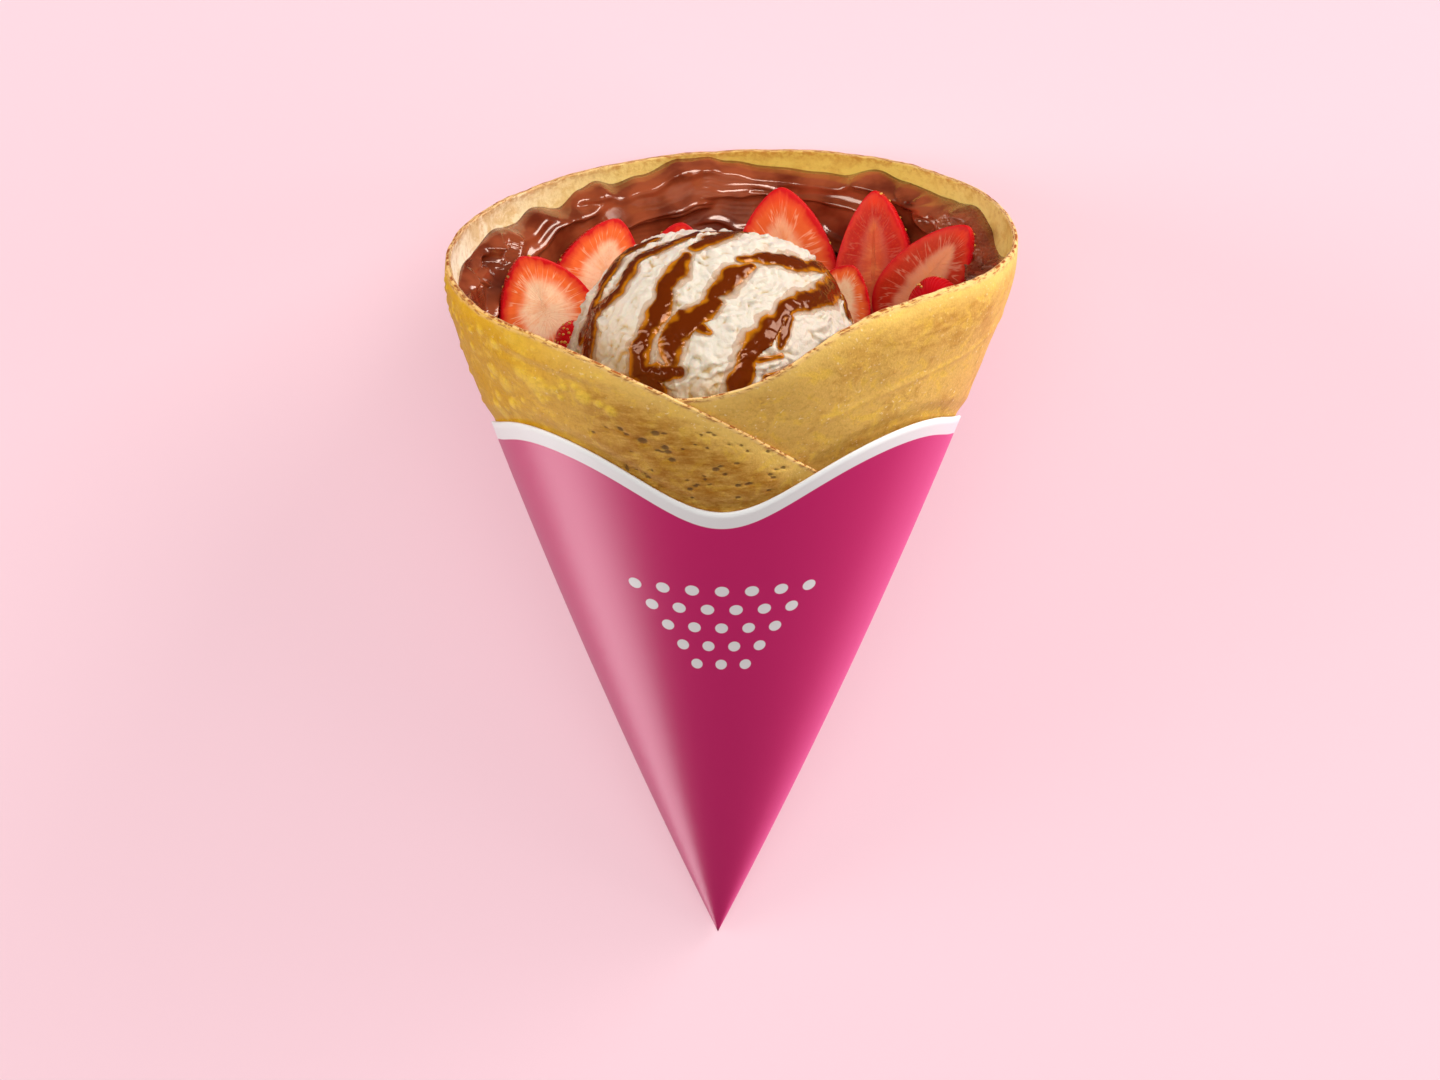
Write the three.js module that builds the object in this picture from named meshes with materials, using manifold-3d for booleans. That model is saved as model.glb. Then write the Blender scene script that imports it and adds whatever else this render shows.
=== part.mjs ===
// A crepe cone lying on its back: a rolled crepe in a paper sleeve, spread with chocolate inside and filled with
// a scoop of ice cream and cut strawberries. Millimetres, +Z up, the mouth towards +Y. The origin is on the
// flat strip under the sleeve that the cone rests on.
import * as THREE from "three";
import { mergeVertices } from "three/addons/utils/BufferGeometryUtils.js";
import Module from "manifold-3d";

const wasm = await Module();
wasm.setup();

// ---- Driving sizes ----
const FLARE = 0.456; // how fast the roll's radius grows with height at the tip
const BOW = 0.00035; // and how much it eases off, for each millimetre of height
const RIM_HEIGHT = 178.6; // the rim's height over the tip, along the roll's axis
const RIM_TILT = 3.8; // the right of the rim stands this much over the middle, the left as much under
const RIM_CURL = 2.8; // the rim turns in by this much over its last RIM_CURL_DEPTH
const RIM_CURL_DEPTH = 13;
const GAP = 0.3; // between touching pieces

const PAPER = 0.8; // the sleeve's wall, with its fold and glue
const TIP_SOLID = 6; // the paper's layers fill the tip up to here
const SLEEVE_EDGE = 140.6; // mean height of the sleeve's wavy top edge
const SLEEVE_WAVE = 8.2; // half of the wave's height
const SLEEVE_WAVES = 4;
const SLEEVE_SKEW = 0.17; // narrow dips and broad crests
const SLEEVE_TILT = 1.5; // the edge stands this much higher at the right, and lower at the left
const SLEEVE_SIDE = 3.5; // and this much higher round its sides, at 80 degrees

const SHEET = 2.5; // one layer of crepe
const ROLL_TIP = 14; // the crepe starts this far over the sleeve's tip
const FLOOR_HEIGHT = 136; // the rolled layers are solid up to here
const WALL_INSET = 0.9; // the filled wall is thicker than one layer by this
const SWELL_FROM = 0.4; // the crepe swells out over the sleeve's edge, until it is as wide as the sleeve
const SWELL_RISE = 5;
const LIP = 1.3; // the rounding of a cut edge

const SPREAD = 2.6; // mean thickness of the chocolate on the wall
const SPREAD_GAP = 0.4; // between the chocolate and the crepe
const SPREAD_BARE = 4.6; // crepe left bare over the chocolate at the back,
const SPREAD_BARE_SIDES = 3.4; // and this much more at the sides
const SPREAD_BARE_FRONT = 3; // and in front
const BED = 8; // thickness of the chocolate under the filling

const SCOOP_RADIUS = 35;
const SCOOP_BASE = 139.2; // the scoop is pressed flat on the bed at this height
const SCOOP_PLACE = new THREE.Vector3(-2, 152.3, 17.6); // along the cone: right, up the axis, to the front

const REST_LOW = 40; // the chord between these two heights of the back lies on the table
const REST_HIGH = 140;
const REST_FLAT = 0.5; // and the paper is pressed flat by this much at its ends
const REST_HEIGHT = 106; // the origin's height along the axis

const STEPS = 48; // facets round the cone

const degrees = THREE.MathUtils.degToRad;
const between = (value, from, to) => THREE.MathUtils.smoothstep(value, from, to);
const steps = (count, from, to) => Array.from({ length: count + 1 }, (_, i) => from + ((to - from) * i) / count);

// ---- The cone's own forms, by the angle round the axis (0 in front, 90 at the right) and the height ----
const rimHeight = (angle) => RIM_HEIGHT + RIM_TILT * Math.sin(degrees(angle));
const flareAt = (height) => height * (FLARE - BOW * height);
const rollRadius = (angle, height) =>
  flareAt(height) - RIM_CURL * Math.max(0, (height - rimHeight(angle)) / RIM_CURL_DEPTH + 1) ** 2;
const sleeveEdge = (angle) => {
  const turn = degrees(SLEEVE_WAVES * angle);
  const tilt = SLEEVE_TILT * Math.sin(degrees(angle));
  const side = SLEEVE_SIDE * Math.exp(-(((Math.cos(degrees(angle)) - 0.17) / 0.2) ** 2));
  return SLEEVE_EDGE + tilt + side - SLEEVE_WAVE * Math.cos(turn + SLEEVE_SKEW * Math.sin(turn));
};

// The outer flap comes from the left across the front and goes down under the sleeve.
const FLAP = { from: -68, to: 46, foot: 104, bend: -24, softness: 12, fall: 9.6, start: 10, least: 5 };
const flapEdge = (angle) =>
  rimHeight(angle) - FLAP.fall * Math.log(1 + Math.exp((angle - FLAP.bend) / FLAP.softness));

// The inner flap comes from the right and goes down behind the outer one.
const INNER = { level: 163.2, rise: 21.6, bend: 14.5, softness: 7.5, right: [45, 85], left: [-66, -54] };
const innerEdge = (angle) =>
  INNER.level + INNER.rise / (1 + Math.exp((INNER.bend - angle) / INNER.softness));
const wallEdge = (angle) => {
  const flap = angle < 0 ? between(angle, ...INNER.left) : 1 - between(angle, ...INNER.right);
  return rimHeight(angle) + flap * (innerEdge(angle) - rimHeight(angle));
};

// How far the wall lies inside the roll's outer surface: one layer in where the outer flap covers it.
const TUCK = { left: [-64, -52], right: [20, 95], rise: [92, 114] };
const tuck = (angle, height) => {
  const across = angle < 0 ? between(angle, ...TUCK.left) : 1 - between(angle, ...TUCK.right);
  return SHEET * across * between(height, ...TUCK.rise);
};

// Under the sleeve the crepe is smaller by the paper, and swells out over the sleeve's edge.
const crepeInset = (angle, height) =>
  (PAPER + GAP) * (1 - between(height - sleeveEdge(angle) - SWELL_FROM, 0, SWELL_RISE));
const wallOuter = (angle, height) =>
  rollRadius(angle, height) - crepeInset(angle, height) - tuck(angle, height);
const wallInner = (angle, height) => rollRadius(angle, height) - tuck(angle, height) - SHEET - WALL_INSET;

// ---- Lying down: the cone leans so that its back is level, and is pressed flat there ----
const BACK_SLOPE = (flareAt(REST_HIGH) - flareAt(REST_LOW)) / (REST_HIGH - REST_LOW);
const LEAN = Math.atan(BACK_SLOPE);
const TABLE = REST_LOW * Math.sin(LEAN) - flareAt(REST_LOW) * Math.cos(LEAN) + REST_FLAT;

// Moves a point of the cone up to the table plane, or to a plane that lies over it.
function pressFlat(point, over) {
  const low = TABLE + over - (point.y * Math.sin(LEAN) + point.z * Math.cos(LEAN));
  if (low > 0) {
    point.y += low * Math.sin(LEAN);
    point.z += low * Math.cos(LEAN);
  }
}

// ---- Makers ----
function closed(geometry) {
  geometry.deleteAttribute("normal");
  geometry.deleteAttribute("uv");
  return mergeVertices(geometry, 1e-3);
}

function solidOf(geometry) {
  return new wasm.Manifold(
    new wasm.Mesh({
      numProp: 3,
      vertProperties: geometry.attributes.position.array,
      triVerts: new Uint32Array(geometry.index.array),
    }),
  );
}

function geometryOf(solid) {
  const mesh = solid.getMesh();
  return new THREE.BufferGeometry()
    .setAttribute("position", new THREE.BufferAttribute(mesh.vertProperties, 3))
    .setIndex(new THREE.BufferAttribute(mesh.triVerts, 1));
}

// The main body of a solid, without the hollows sealed in it or the scraps cut from it.
const largest = (solid) => solid.decompose().sort((a, b) => b.volume() - a.volume())[0];

// Moves every vertex of a geometry to where placeAt says.
function moved(geometry, placeAt) {
  const place = geometry.attributes.position;
  for (let i = 0; i < place.count; i++) {
    const point = placeAt(new THREE.Vector3().fromBufferAttribute(place, i), i);
    place.setXYZ(i, point.x, point.y, point.z);
  }
  return closed(geometry);
}

// Turns a section round the axis. sectionAt(angle) gives the same number of [radius, height, over] points at
// each angle, from the axis at the bottom to the axis at the top; over is the point's height over the table.
function turned(sectionAt) {
  const flat = sectionAt(0).map(([radius, height]) => new THREE.Vector2(radius, height));
  return moved(new THREE.LatheGeometry(flat, STEPS), (point, i) => {
    const step = Math.floor(i / flat.length) % STEPS;
    const angle = ((step + 0.5) * 360) / STEPS;
    const [radius, height, over] = sectionAt(angle > 180 ? angle - 360 : angle)[i % flat.length];
    point.set(radius * Math.sin(degrees(angle)), height, radius * Math.cos(degrees(angle)));
    if (over !== undefined) pressFlat(point, over);
    return point;
  });
}

function named(name, geometry, look) {
  const mesh = new THREE.Mesh(geometry, new THREE.MeshStandardMaterial({ metalness: 0, ...look }));
  mesh.name = name;
  return mesh;
}

// ---- Paper sleeve ----
function paperSleeve() {
  const rows = 6;
  const sectionAt = (angle) => {
    const edge = sleeveEdge(angle);
    const outside = steps(rows, 0, edge).map((height) => [flareAt(height), height, 0]);
    const inside = steps(rows, edge, 2 * TIP_SOLID).map((height) => [flareAt(height) - PAPER, height, PAPER]);
    return [...outside, ...inside, [0, TIP_SOLID, PAPER]];
  };
  return named("paper_sleeve", turned(sectionAt), { color: 0xc42a6b, roughness: 0.4 });
}

// ---- Crepe: solid layers below, one wall round the filling, and the outer flap over it ----
function crepeFlap() {
  const columns = 24;
  const rows = 9;
  const rowsUnderSleeve = 3;
  return moved(new THREE.BoxGeometry(1, 1, 1, columns, rows, 1), (unit) => {
    const angle = FLAP.from + (FLAP.to - FLAP.from) * (unit.x + 0.5);
    const start = 1 - between(angle, FLAP.from, FLAP.from + FLAP.start);
    const edge = flapEdge(angle) - 0.4 * start; // the flap starts just inside the wall that it grows from
    const paper = Math.min(sleeveEdge(angle), edge - FLAP.least);
    const row = Math.round((unit.y + 0.5) * rows) - rowsUnderSleeve;
    const height =
      row < 0
        ? paper + ((paper - FLAP.foot) * row) / rowsUnderSleeve
        : paper + ((edge - paper) * row) / (rows - rowsUnderSleeve);
    const lip = 0.5 * SHEET * Math.max(0, 1 - (edge - height) / LIP) ** 2;
    const outer = rollRadius(angle, height) - crepeInset(angle, height) - GAP * start;
    const thickness = (SHEET + 0.25) * (1 - 0.35 * start);
    const radius = unit.z > 0 ? outer - lip : outer - thickness + lip;
    return new THREE.Vector3(radius * Math.sin(degrees(angle)), height, radius * Math.cos(degrees(angle)));
  });
}

function crepe() {
  const sectionAt = (angle) => {
    const edge = wallEdge(angle);
    const paper = sleeveEdge(angle);
    const swollen = paper + SWELL_FROM + SWELL_RISE;
    const low = steps(6, ROLL_TIP, SLEEVE_EDGE - 2 * SLEEVE_WAVE);
    const outside = [...low, paper, swollen, swollen + 2 * SWELL_RISE].map((height) => {
      const below = Math.min(height, edge - 5 * LIP);
      return [wallOuter(angle, below), below, crepeInset(angle, below)];
    });
    const lip = [
      [wallOuter(angle, edge - LIP), edge - LIP],
      [wallOuter(angle, edge) - 0.5 * SHEET, edge],
      [wallInner(angle, edge - LIP), edge - LIP],
    ];
    const inside = [edge - 4 * LIP, ...steps(3, edge - 8 * LIP, FLOOR_HEIGHT + 1)].map((height) => [
      wallInner(angle, height),
      height,
    ]);
    return [[0, ROLL_TIP, PAPER + GAP], ...outside, ...lip, ...inside, [0, FLOOR_HEIGHT]];
  };
  const joined = solidOf(turned(sectionAt)).add(solidOf(crepeFlap()));
  return named("crepe", geometryOf(largest(joined)), { color: 0xd9a441, roughness: 0.75 });
}

// ---- Ice cream: one lumpy scoop with thick sauce run over it ----
// The sauce's strands: each one's width, and its route over the dome in millimetres right and up from the
// scoop's middle, as seen from above.
const SAUCE_STRANDS = [
  [2.6, [-18.7, 29], [-23.4, 24.6], [-26.3, 20.6], [-29.6, 15.6], [-31.2, 8]],
  [3.2, [-3.5, 33], [-13.5, 28.6], [-20.1, 25.2], [-21.5, 20.8], [-28.2, 14.6], [-30.4, 3.6]],
  [4.2, [3.6, 33], [-5.9, 28.4], [-7.6, 25.8], [-10.6, 20.9], [-13.9, 12.6], [-17.8, 3.2], [-12.6, -2.4]],
  [4.2, [8.4, 26.5], [1.7, 20.4], [-0.8, 16.9], [-6.8, 11.8], [-10.8, 8.4], [-9.7, 3.2]],
  [3.6, [6, 27.6], [15.5, 27], [22.6, 23.6], [26.4, 19], [21, 17.3], [15.5, 15.7], [9.3, 6.6], [3.6, -2.8]],
  [3, [23.4, 24], [28.4, 19.6], [31.6, 12.4]],
];
const SAUCE_FLATTEN = 0.62; // the strands are this much lower than round
const SAUCE_SINK = 0.25;

const scoopLump = (direction) =>
  0.7 * Math.sin(4 * direction.x + 1.3) * Math.sin(5 * direction.y) +
  0.5 * Math.sin(7 * direction.z + 4 * direction.x + 0.6);

function scoopSurface(direction, over = 0) {
  return direction.clone().multiplyScalar(SCOOP_RADIUS + scoopLump(direction) + over);
}

function sauceStrand([width, ...route]) {
  const onDome = route.map(([x, y]) => {
    const up = Math.sqrt(SCOOP_RADIUS ** 2 - x * x - y * y);
    const direction = new THREE.Vector3(x, y, up).normalize().applyAxisAngle(new THREE.Vector3(1, 0, 0), -LEAN);
    return scoopSurface(direction, -SAUCE_SINK);
  });
  const sides = 6;
  const section = new THREE.Shape(
    steps(sides, 0, 2 * Math.PI)
      .slice(0, sides)
      .map((turn) => new THREE.Vector2((width / 2) * Math.cos(turn), (width / 2) * Math.sin(turn))),
  );
  const extrudePath = new THREE.CatmullRomCurve3(onDome);
  const geometry = new THREE.ExtrudeGeometry(section, { steps: 2 * route.length + 2, extrudePath });
  return moved(geometry, (point) => {
    const surface = scoopSurface(point.clone().normalize()).length();
    return point.setLength(surface + SAUCE_FLATTEN * (point.length() - surface));
  });
}

function iceCream() {
  const ball = moved(new THREE.SphereGeometry(SCOOP_RADIUS, 32, 20), (point) => scoopSurface(point.normalize()));
  const strands = SAUCE_STRANDS.map((strand) => solidOf(sauceStrand(strand)));
  const joined = strands.reduce((sum, strand) => sum.add(strand), solidOf(ball));
  const side = 3 * SCOOP_RADIUS;
  const above = new THREE.BoxGeometry(side, side, side).translate(0, side / 2 + SCOOP_BASE - SCOOP_PLACE.y, 0);
  const scoop = joined.intersect(solidOf(closed(above)));
  const mesh = named("ice_cream", geometryOf(scoop), { color: 0xefe3c8, roughness: 0.6 });
  mesh.position.copy(SCOOP_PLACE);
  return mesh;
}

// ---- Strawberries: halves and slices, the cut face up and the skin below ----
// Each has its name, [width, length, depth, notch at the stalk's end], the middle of its cut face in the lying
// cone from the cone's tip, the heading of its own tip from +Y, and the tilt of its cut face about X and Y.
const BERRIES = [
  ["left_half", [25, 28, 8, 3], [-43.2, 151, 44], 24, [10, 22]],
  ["back_left_half", [24, 30, 9, 1], [-30, 158.8, 25], -18, [2, 22]],
  ["behind_scoop_tip", [25, 31, 9, 1], [-12.2, 157.2, 14.6], -6, [2, 8]],
  ["back_right_half", [27, 36, 10, 2], [14, 163.4, 16.5], 3, [2, -10]],
  ["right_half", [21.5, 36, 9, 1], [35.6, 162.6, 27], 0, [2, -26]],
  ["right_leaning_half", [21, 35, 8, 1], [47.8, 158.6, 43.4], -40, [4, -30]],
  ["scoop_side_slice", [19, 22, 5, 0], [26.4, 152.2, 42], -22, [10, -14]],
  ["left_skin_piece", [9, 16, 6, 0], [-36.6, 140.4, 46.5], 8, [176, -14]],
  ["right_skin_piece", [14, 18, 6, 0], [51.6, 151.6, 54], -60, [172, 30]],
];
const BERRY_SECTION = [[0, 0.03], [0.55, 0.04], [0.97, 0.01], [1, -0.16], [0.84, -0.55], [0.5, -0.88], [0, -1]];
const BERRY_TAPER = 0.35; // the tip's half is this much narrower than the middle, the stalk's half wider
const BERRY_SIDES = 18;

function strawberry([name, [width, length, depth, notch], at, heading, tilt]) {
  const section = BERRY_SECTION.map(([scale, rise]) => new THREE.Vector2(scale, rise));
  const geometry = moved(new THREE.LatheGeometry(section, BERRY_SIDES), (point, i) => {
    const turn = (2 * Math.PI * (Math.floor(i / section.length) % BERRY_SIDES)) / BERRY_SIDES;
    const [scale, rise] = BERRY_SECTION[i % section.length];
    const dent = notch * Math.exp(-(((turn - Math.PI) / 0.4) ** 2));
    const across = (width * Math.sin(turn) * (1 - BERRY_TAPER * Math.cos(turn))) / 2.1;
    return point.set(scale * across, scale * ((length * Math.cos(turn)) / 2 + dent), depth * rise);
  });
  const mesh = named("strawberry_" + name, geometry, { color: 0xd8322a, roughness: 0.4 });
  mesh.position.set(...at);
  mesh.rotation.set(degrees(tilt[0]), degrees(tilt[1]), degrees(heading));
  return mesh;
}

// ---- Chocolate spread: a ridged coat on the inside of the wall and a floor under the filling ----
const spreadEdge = (angle) => {
  const turn = degrees(angle);
  const bare =
    SPREAD_BARE +
    SPREAD_BARE_SIDES * Math.abs(Math.sin(turn)) ** 3 +
    SPREAD_BARE_FRONT * Math.max(0, Math.cos(turn)) ** 2;
  const wave = 1.1 * Math.sin(9 * turn + 0.8) + 0.7 * Math.sin(17 * turn);
  return Math.min(wallEdge(angle), rimHeight(angle)) - bare + wave;
};
const ridge = (angle, height) => {
  const turn = degrees(angle);
  return 0.7 * Math.sin(5 * turn + 0.11 * height) + 0.6 * Math.sin(0.42 * height + 3 * Math.sin(2 * turn));
};

// A solid as large as a placed mesh with a gap all round, in the cone's own frame.
function grownRound(mesh, cone) {
  mesh.updateMatrixWorld(true);
  const grown = mesh.geometry.clone();
  grown.computeBoundingBox();
  const size = grown.boundingBox.getSize(new THREE.Vector3());
  const middle = grown.boundingBox.getCenter(new THREE.Vector3());
  grown.translate(-middle.x, -middle.y, -middle.z);
  grown.scale(...size.toArray().map((side) => 1 + (2.4 * GAP) / side));
  grown.translate(middle.x, middle.y, middle.z);
  grown.applyMatrix4(mesh.matrixWorld).applyMatrix4(cone.matrixWorld.clone().invert());
  return solidOf(grown);
}

function chocolateSpread(cone, contents) {
  const bed = FLOOR_HEIGHT + BED;
  const sectionAt = (angle) => {
    const edge = spreadEdge(angle);
    const wall = (height) => wallInner(angle, height) - SPREAD_GAP;
    const relief = Math.max(0, 0.6 - Math.cos(degrees(angle))) / 1.6;
    const outside = steps(4, FLOOR_HEIGHT + 1 + SPREAD_GAP, edge - 1).map((height) => [wall(height), height]);
    const inside = steps(7, edge - 2, bed + 4).map((height) => [
      wall(height) - SPREAD - relief * ridge(angle, height),
      height,
    ]);
    const lip = [wall(edge) - 0.5 * SPREAD, edge];
    const floor = [[wall(bed) - 3 * SPREAD, bed], [0.5 * wall(bed), bed - 1.5], [0, bed - 2]];
    return [[0, FLOOR_HEIGHT + SPREAD_GAP], ...outside, lip, ...inside, ...floor];
  };
  const whole = solidOf(turned(sectionAt));
  const cut = contents.reduce((rest, mesh) => rest.subtract(grownRound(mesh, cone)), whole);
  return named("chocolate_spread", geometryOf(largest(cut)), { color: 0x4a2012, roughness: 0.3 });
}

// ---- The whole, lying down ----
const cone = new THREE.Group();
const scoop = iceCream();
cone.rotation.x = LEAN;
cone.add(scoop);
cone.updateMatrixWorld(true);
const berries = BERRIES.map(strawberry);
cone.add(paperSleeve(), crepe(), chocolateSpread(cone, [scoop, ...berries]));

const lying = new THREE.Group();
lying.position.set(0, -REST_HEIGHT * Math.cos(LEAN) - flareAt(REST_HEIGHT) * Math.sin(LEAN), -TABLE);
lying.add(cone, ...berries);

const crepeCone = new THREE.Group();
crepeCone.add(lying);

export default crepeCone;
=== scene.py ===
import math
import random

import bmesh
import bpy
from bpy.props import FloatProperty, FloatVectorProperty, IntProperty, PointerProperty
from mathutils import Matrix, Vector, kdtree, noise


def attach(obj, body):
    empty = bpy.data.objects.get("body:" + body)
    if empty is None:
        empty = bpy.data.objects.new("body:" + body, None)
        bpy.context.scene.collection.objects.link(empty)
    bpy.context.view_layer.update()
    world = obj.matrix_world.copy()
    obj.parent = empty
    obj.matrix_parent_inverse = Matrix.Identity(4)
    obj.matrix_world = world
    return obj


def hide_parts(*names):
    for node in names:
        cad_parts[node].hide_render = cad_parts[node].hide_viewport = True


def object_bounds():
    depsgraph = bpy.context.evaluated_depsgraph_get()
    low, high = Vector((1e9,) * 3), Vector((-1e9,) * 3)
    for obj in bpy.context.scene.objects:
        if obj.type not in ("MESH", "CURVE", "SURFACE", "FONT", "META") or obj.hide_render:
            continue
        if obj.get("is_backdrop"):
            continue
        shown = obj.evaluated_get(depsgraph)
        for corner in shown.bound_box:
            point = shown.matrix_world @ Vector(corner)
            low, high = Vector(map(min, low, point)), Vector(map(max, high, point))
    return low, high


bl_info = {
    "name": "Crepe Cone",
    "version": (1, 0, 0),
    "blender": (4, 5, 0),
    "location": "View3D > Sidebar > Crepe Cone",
    "description": "Dresses a filled crepe cone in a paper sleeve",
    "category": "Object",
}

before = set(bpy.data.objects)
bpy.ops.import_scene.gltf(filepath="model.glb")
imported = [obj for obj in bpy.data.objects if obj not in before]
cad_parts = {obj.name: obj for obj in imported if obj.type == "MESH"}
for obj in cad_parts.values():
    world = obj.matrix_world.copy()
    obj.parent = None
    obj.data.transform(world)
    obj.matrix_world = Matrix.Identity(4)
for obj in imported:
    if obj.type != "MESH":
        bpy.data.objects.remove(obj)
CAD_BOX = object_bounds()

# ---- The form, as the solids have it ----
FLARE = 0.456  # how fast the roll's radius grows with height at the tip
BOW = 0.00035  # and how much it eases off, for each millimetre of height
RIM_HEIGHT = 178.6
RIM_TILT = 3.8  # the right of the rim is this much higher than the middle
RIM_CURL = 2.8  # the rim turns in by this much over its last RIM_CURL_DEPTH
RIM_CURL_DEPTH = 13
GAP = 0.3  # between touching pieces
PAPER = 0.8
TIP_SOLID = 6  # the paper fills the tip up to here
SLEEVE_EDGE = 140.6  # mean height of the wavy top edge
SLEEVE_WAVE = 8.2
SLEEVE_WAVES = 4
SLEEVE_SKEW = 0.17  # narrow dips and broad crests
SLEEVE_TILT = 1.5  # the edge stands this much higher at the right
SLEEVE_SIDE = 3.5  # and this much higher round its sides, at 80 degrees
SHEET = 2.5  # one layer of crepe, and RIM_SHEET at its edge
RIM_SHEET = 1.3
ROLL_TIP = 14  # the crepe starts this far over the tip
FLOOR_HEIGHT = 136  # the rolled layers are solid up to here
SWELL_FROM = 0.4  # over the sleeve's edge the crepe swells out, from here
SWELL_RISE = 5  # and over this height
BED = 144  # top of the chocolate under the filling
SCOOP_RADIUS = 35
SCOOP_BASE = 139.2
SCOOP_PLACE = Vector((-2, 152.3, 17.6))
REST_LOW = 40  # the back lies on the table between these two heights
REST_HIGH = 140
REST_FLAT = 0.5  # and is pressed in by this much at both
REST_HEIGHT = 106  # the origin's height along the axis
FLAP_FROM, FLAP_TO = -68, 46  # the angles of the outer flap
FLAP_FOOT = 104  # its hidden lower edge
FLAP_KNEE, FLAP_BEND, FLAP_DROP = -24, 12, 9.6  # where and how softly its edge bends down, and how steeply
INNER_LOW, INNER_RISE = 163.2, 21.6  # the inner layer's edge under the flap, and its climb to the right
INNER_MIDDLE, INNER_BEND = 14.5, 7.5  # where it is halfway up, and how softly it climbs


def smooth(value, low, high):
    """0 below low, 1 above high, and an even S between them."""
    t = min(1.0, max(0.0, (value - low) / (high - low)))
    return t * t * (3 - 2 * t)


def hump(value, middle, width):
    """1 where the value is in the middle, falling off softly to both sides."""
    return math.exp(-(((value - middle) / width) ** 2))


def steps(count, start, end):
    return [start + (end - start) * i / count for i in range(count + 1)]


def flare(height):
    return height * (FLARE - BOW * height)


def rim_height(angle):
    return RIM_HEIGHT + RIM_TILT * math.sin(math.radians(angle))


def roll_radius(angle, height):
    curl = max(0.0, (height - rim_height(angle)) / RIM_CURL_DEPTH + 1)
    return flare(height) - RIM_CURL * curl**2


def sleeve_edge(angle):
    turn = math.radians(SLEEVE_WAVES * angle)
    tilt = SLEEVE_TILT * math.sin(math.radians(angle))
    side = SLEEVE_SIDE * hump(math.cos(math.radians(angle)), 0.17, 0.2)
    return SLEEVE_EDGE + tilt + side - SLEEVE_WAVE * math.cos(turn + SLEEVE_SKEW * math.sin(turn))


def flap_edge(angle):
    return rim_height(angle) - FLAP_DROP * math.log(1 + math.exp((angle - FLAP_KNEE) / FLAP_BEND))


def inner_edge(angle):
    return INNER_LOW + INNER_RISE / (1 + math.exp((INNER_MIDDLE - angle) / INNER_BEND))


def tuck(angle, height):
    """How far the inner layer lies inside the roll where the outer flap covers it."""
    across = smooth(angle, -64, -52) if angle < 0 else 1 - smooth(angle, 20, 95)
    return SHEET * across * smooth(height, 92, 114)


def crepe_inset(angle, height):
    swollen = smooth(height - sleeve_edge(angle), SWELL_FROM, SWELL_FROM + SWELL_RISE)
    return (PAPER + GAP) * (1 - swollen)


def wall_edge(angle):
    """The height of the innermost layer's edge."""
    blend = smooth(angle, -66, -54) if angle < 0 else 1 - smooth(angle, 45, 85)
    return rim_height(angle) + blend * (inner_edge(angle) - rim_height(angle))


def thickness(below):
    """The sheet's thickness, by the distance to its edge."""
    return RIM_SHEET + (SHEET - RIM_SHEET) * smooth(below, 0, 16)


def around(angle, radius, height):
    turn = math.radians(angle)
    return Vector((radius * math.sin(turn), height, radius * math.cos(turn)))


LEAN = math.atan((flare(REST_HIGH) - flare(REST_LOW)) / (REST_HIGH - REST_LOW))
TABLE = REST_LOW * math.sin(LEAN) - flare(REST_LOW) * math.cos(LEAN) + REST_FLAT
BACK = Vector((0, math.sin(LEAN), math.cos(LEAN)))
ORIGIN = Vector((0, -REST_HEIGHT * math.cos(LEAN) - flare(REST_HEIGHT) * math.sin(LEAN), -TABLE))
MM = 0.001
LYING = Matrix.Scale(MM, 4) @ Matrix.Translation(ORIGIN)
LAID = LYING @ Matrix.Rotation(LEAN, 4, "X")


def press_flat(point, over):
    """Moves a point of the cone up to the table, or to a plane that lies over it."""
    low = TABLE + over - point.dot(BACK)
    return point + BACK * low if low > 0 else point


# ---- Making pieces ----
def spun(columns, rows):
    """A closed shell round the Y axis, with a ring at each whole height and a pole at both ends."""
    bm = bmesh.new()
    line = [bm.verts.new((0 if row in (0, rows) else 1, row, 0)) for row in range(rows + 1)]
    edges = [bm.edges.new(pair) for pair in zip(line, line[1:])]
    bmesh.ops.spin(
        bm, geom=line + edges, cent=(0, 0, 0), axis=(0, 1, 0), angle=math.tau, steps=columns, use_merge=True
    )
    bmesh.ops.remove_doubles(bm, verts=bm.verts, dist=1e-4)
    return bm


def shape_rings(bm, section):
    """Moves the rings of a spun shell to where section(angle) puts its points."""
    sections = {}
    for vert in bm.verts:
        angle = round(math.degrees(math.atan2(vert.co.x, vert.co.z)), 3)
        if angle not in sections:
            sections[angle] = section(angle)
        vert.co = sections[angle][round(vert.co.y)]


def layers(bm, *names):
    """Room for a number at each point under each name, which a material reads by that name."""
    return [bm.verts.layers.float.new(name) for name in names]


def mark(bm, name, value_at):
    """Stores a number at each point."""
    (layer,) = layers(bm, name)
    for vert in bm.verts:
        vert[layer] = value_at(vert.co)


def cone_place(point):
    """The angle round the cone's axis, the radius and the height of a point."""
    return math.degrees(math.atan2(point.x, point.z)), math.hypot(point.x, point.z), point.y


def mesh_of(name, bm):
    """The mesh of a bmesh, which is then done with."""
    mesh = bpy.data.meshes.new(name)
    bm.to_mesh(mesh)
    bm.free()
    return mesh


def put(name, data):
    """A new object in the scene."""
    item = bpy.data.objects.new(name, data)
    bpy.context.scene.collection.objects.link(item)
    return item


def settle(name, bm, place, material, slot, *nodes):
    """Makes a piece of the cone from a bmesh in millimetres, in place of the solids it stands for."""
    bmesh.ops.transform(bm, matrix=place, verts=bm.verts)
    bmesh.ops.recalc_face_normals(bm, faces=bm.faces)
    mesh = mesh_of(name, bm)
    mesh.shade_smooth()
    mesh.materials.append(material)
    piece = put(name, mesh)
    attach(piece, "root")
    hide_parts(*nodes)
    return piece


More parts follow.
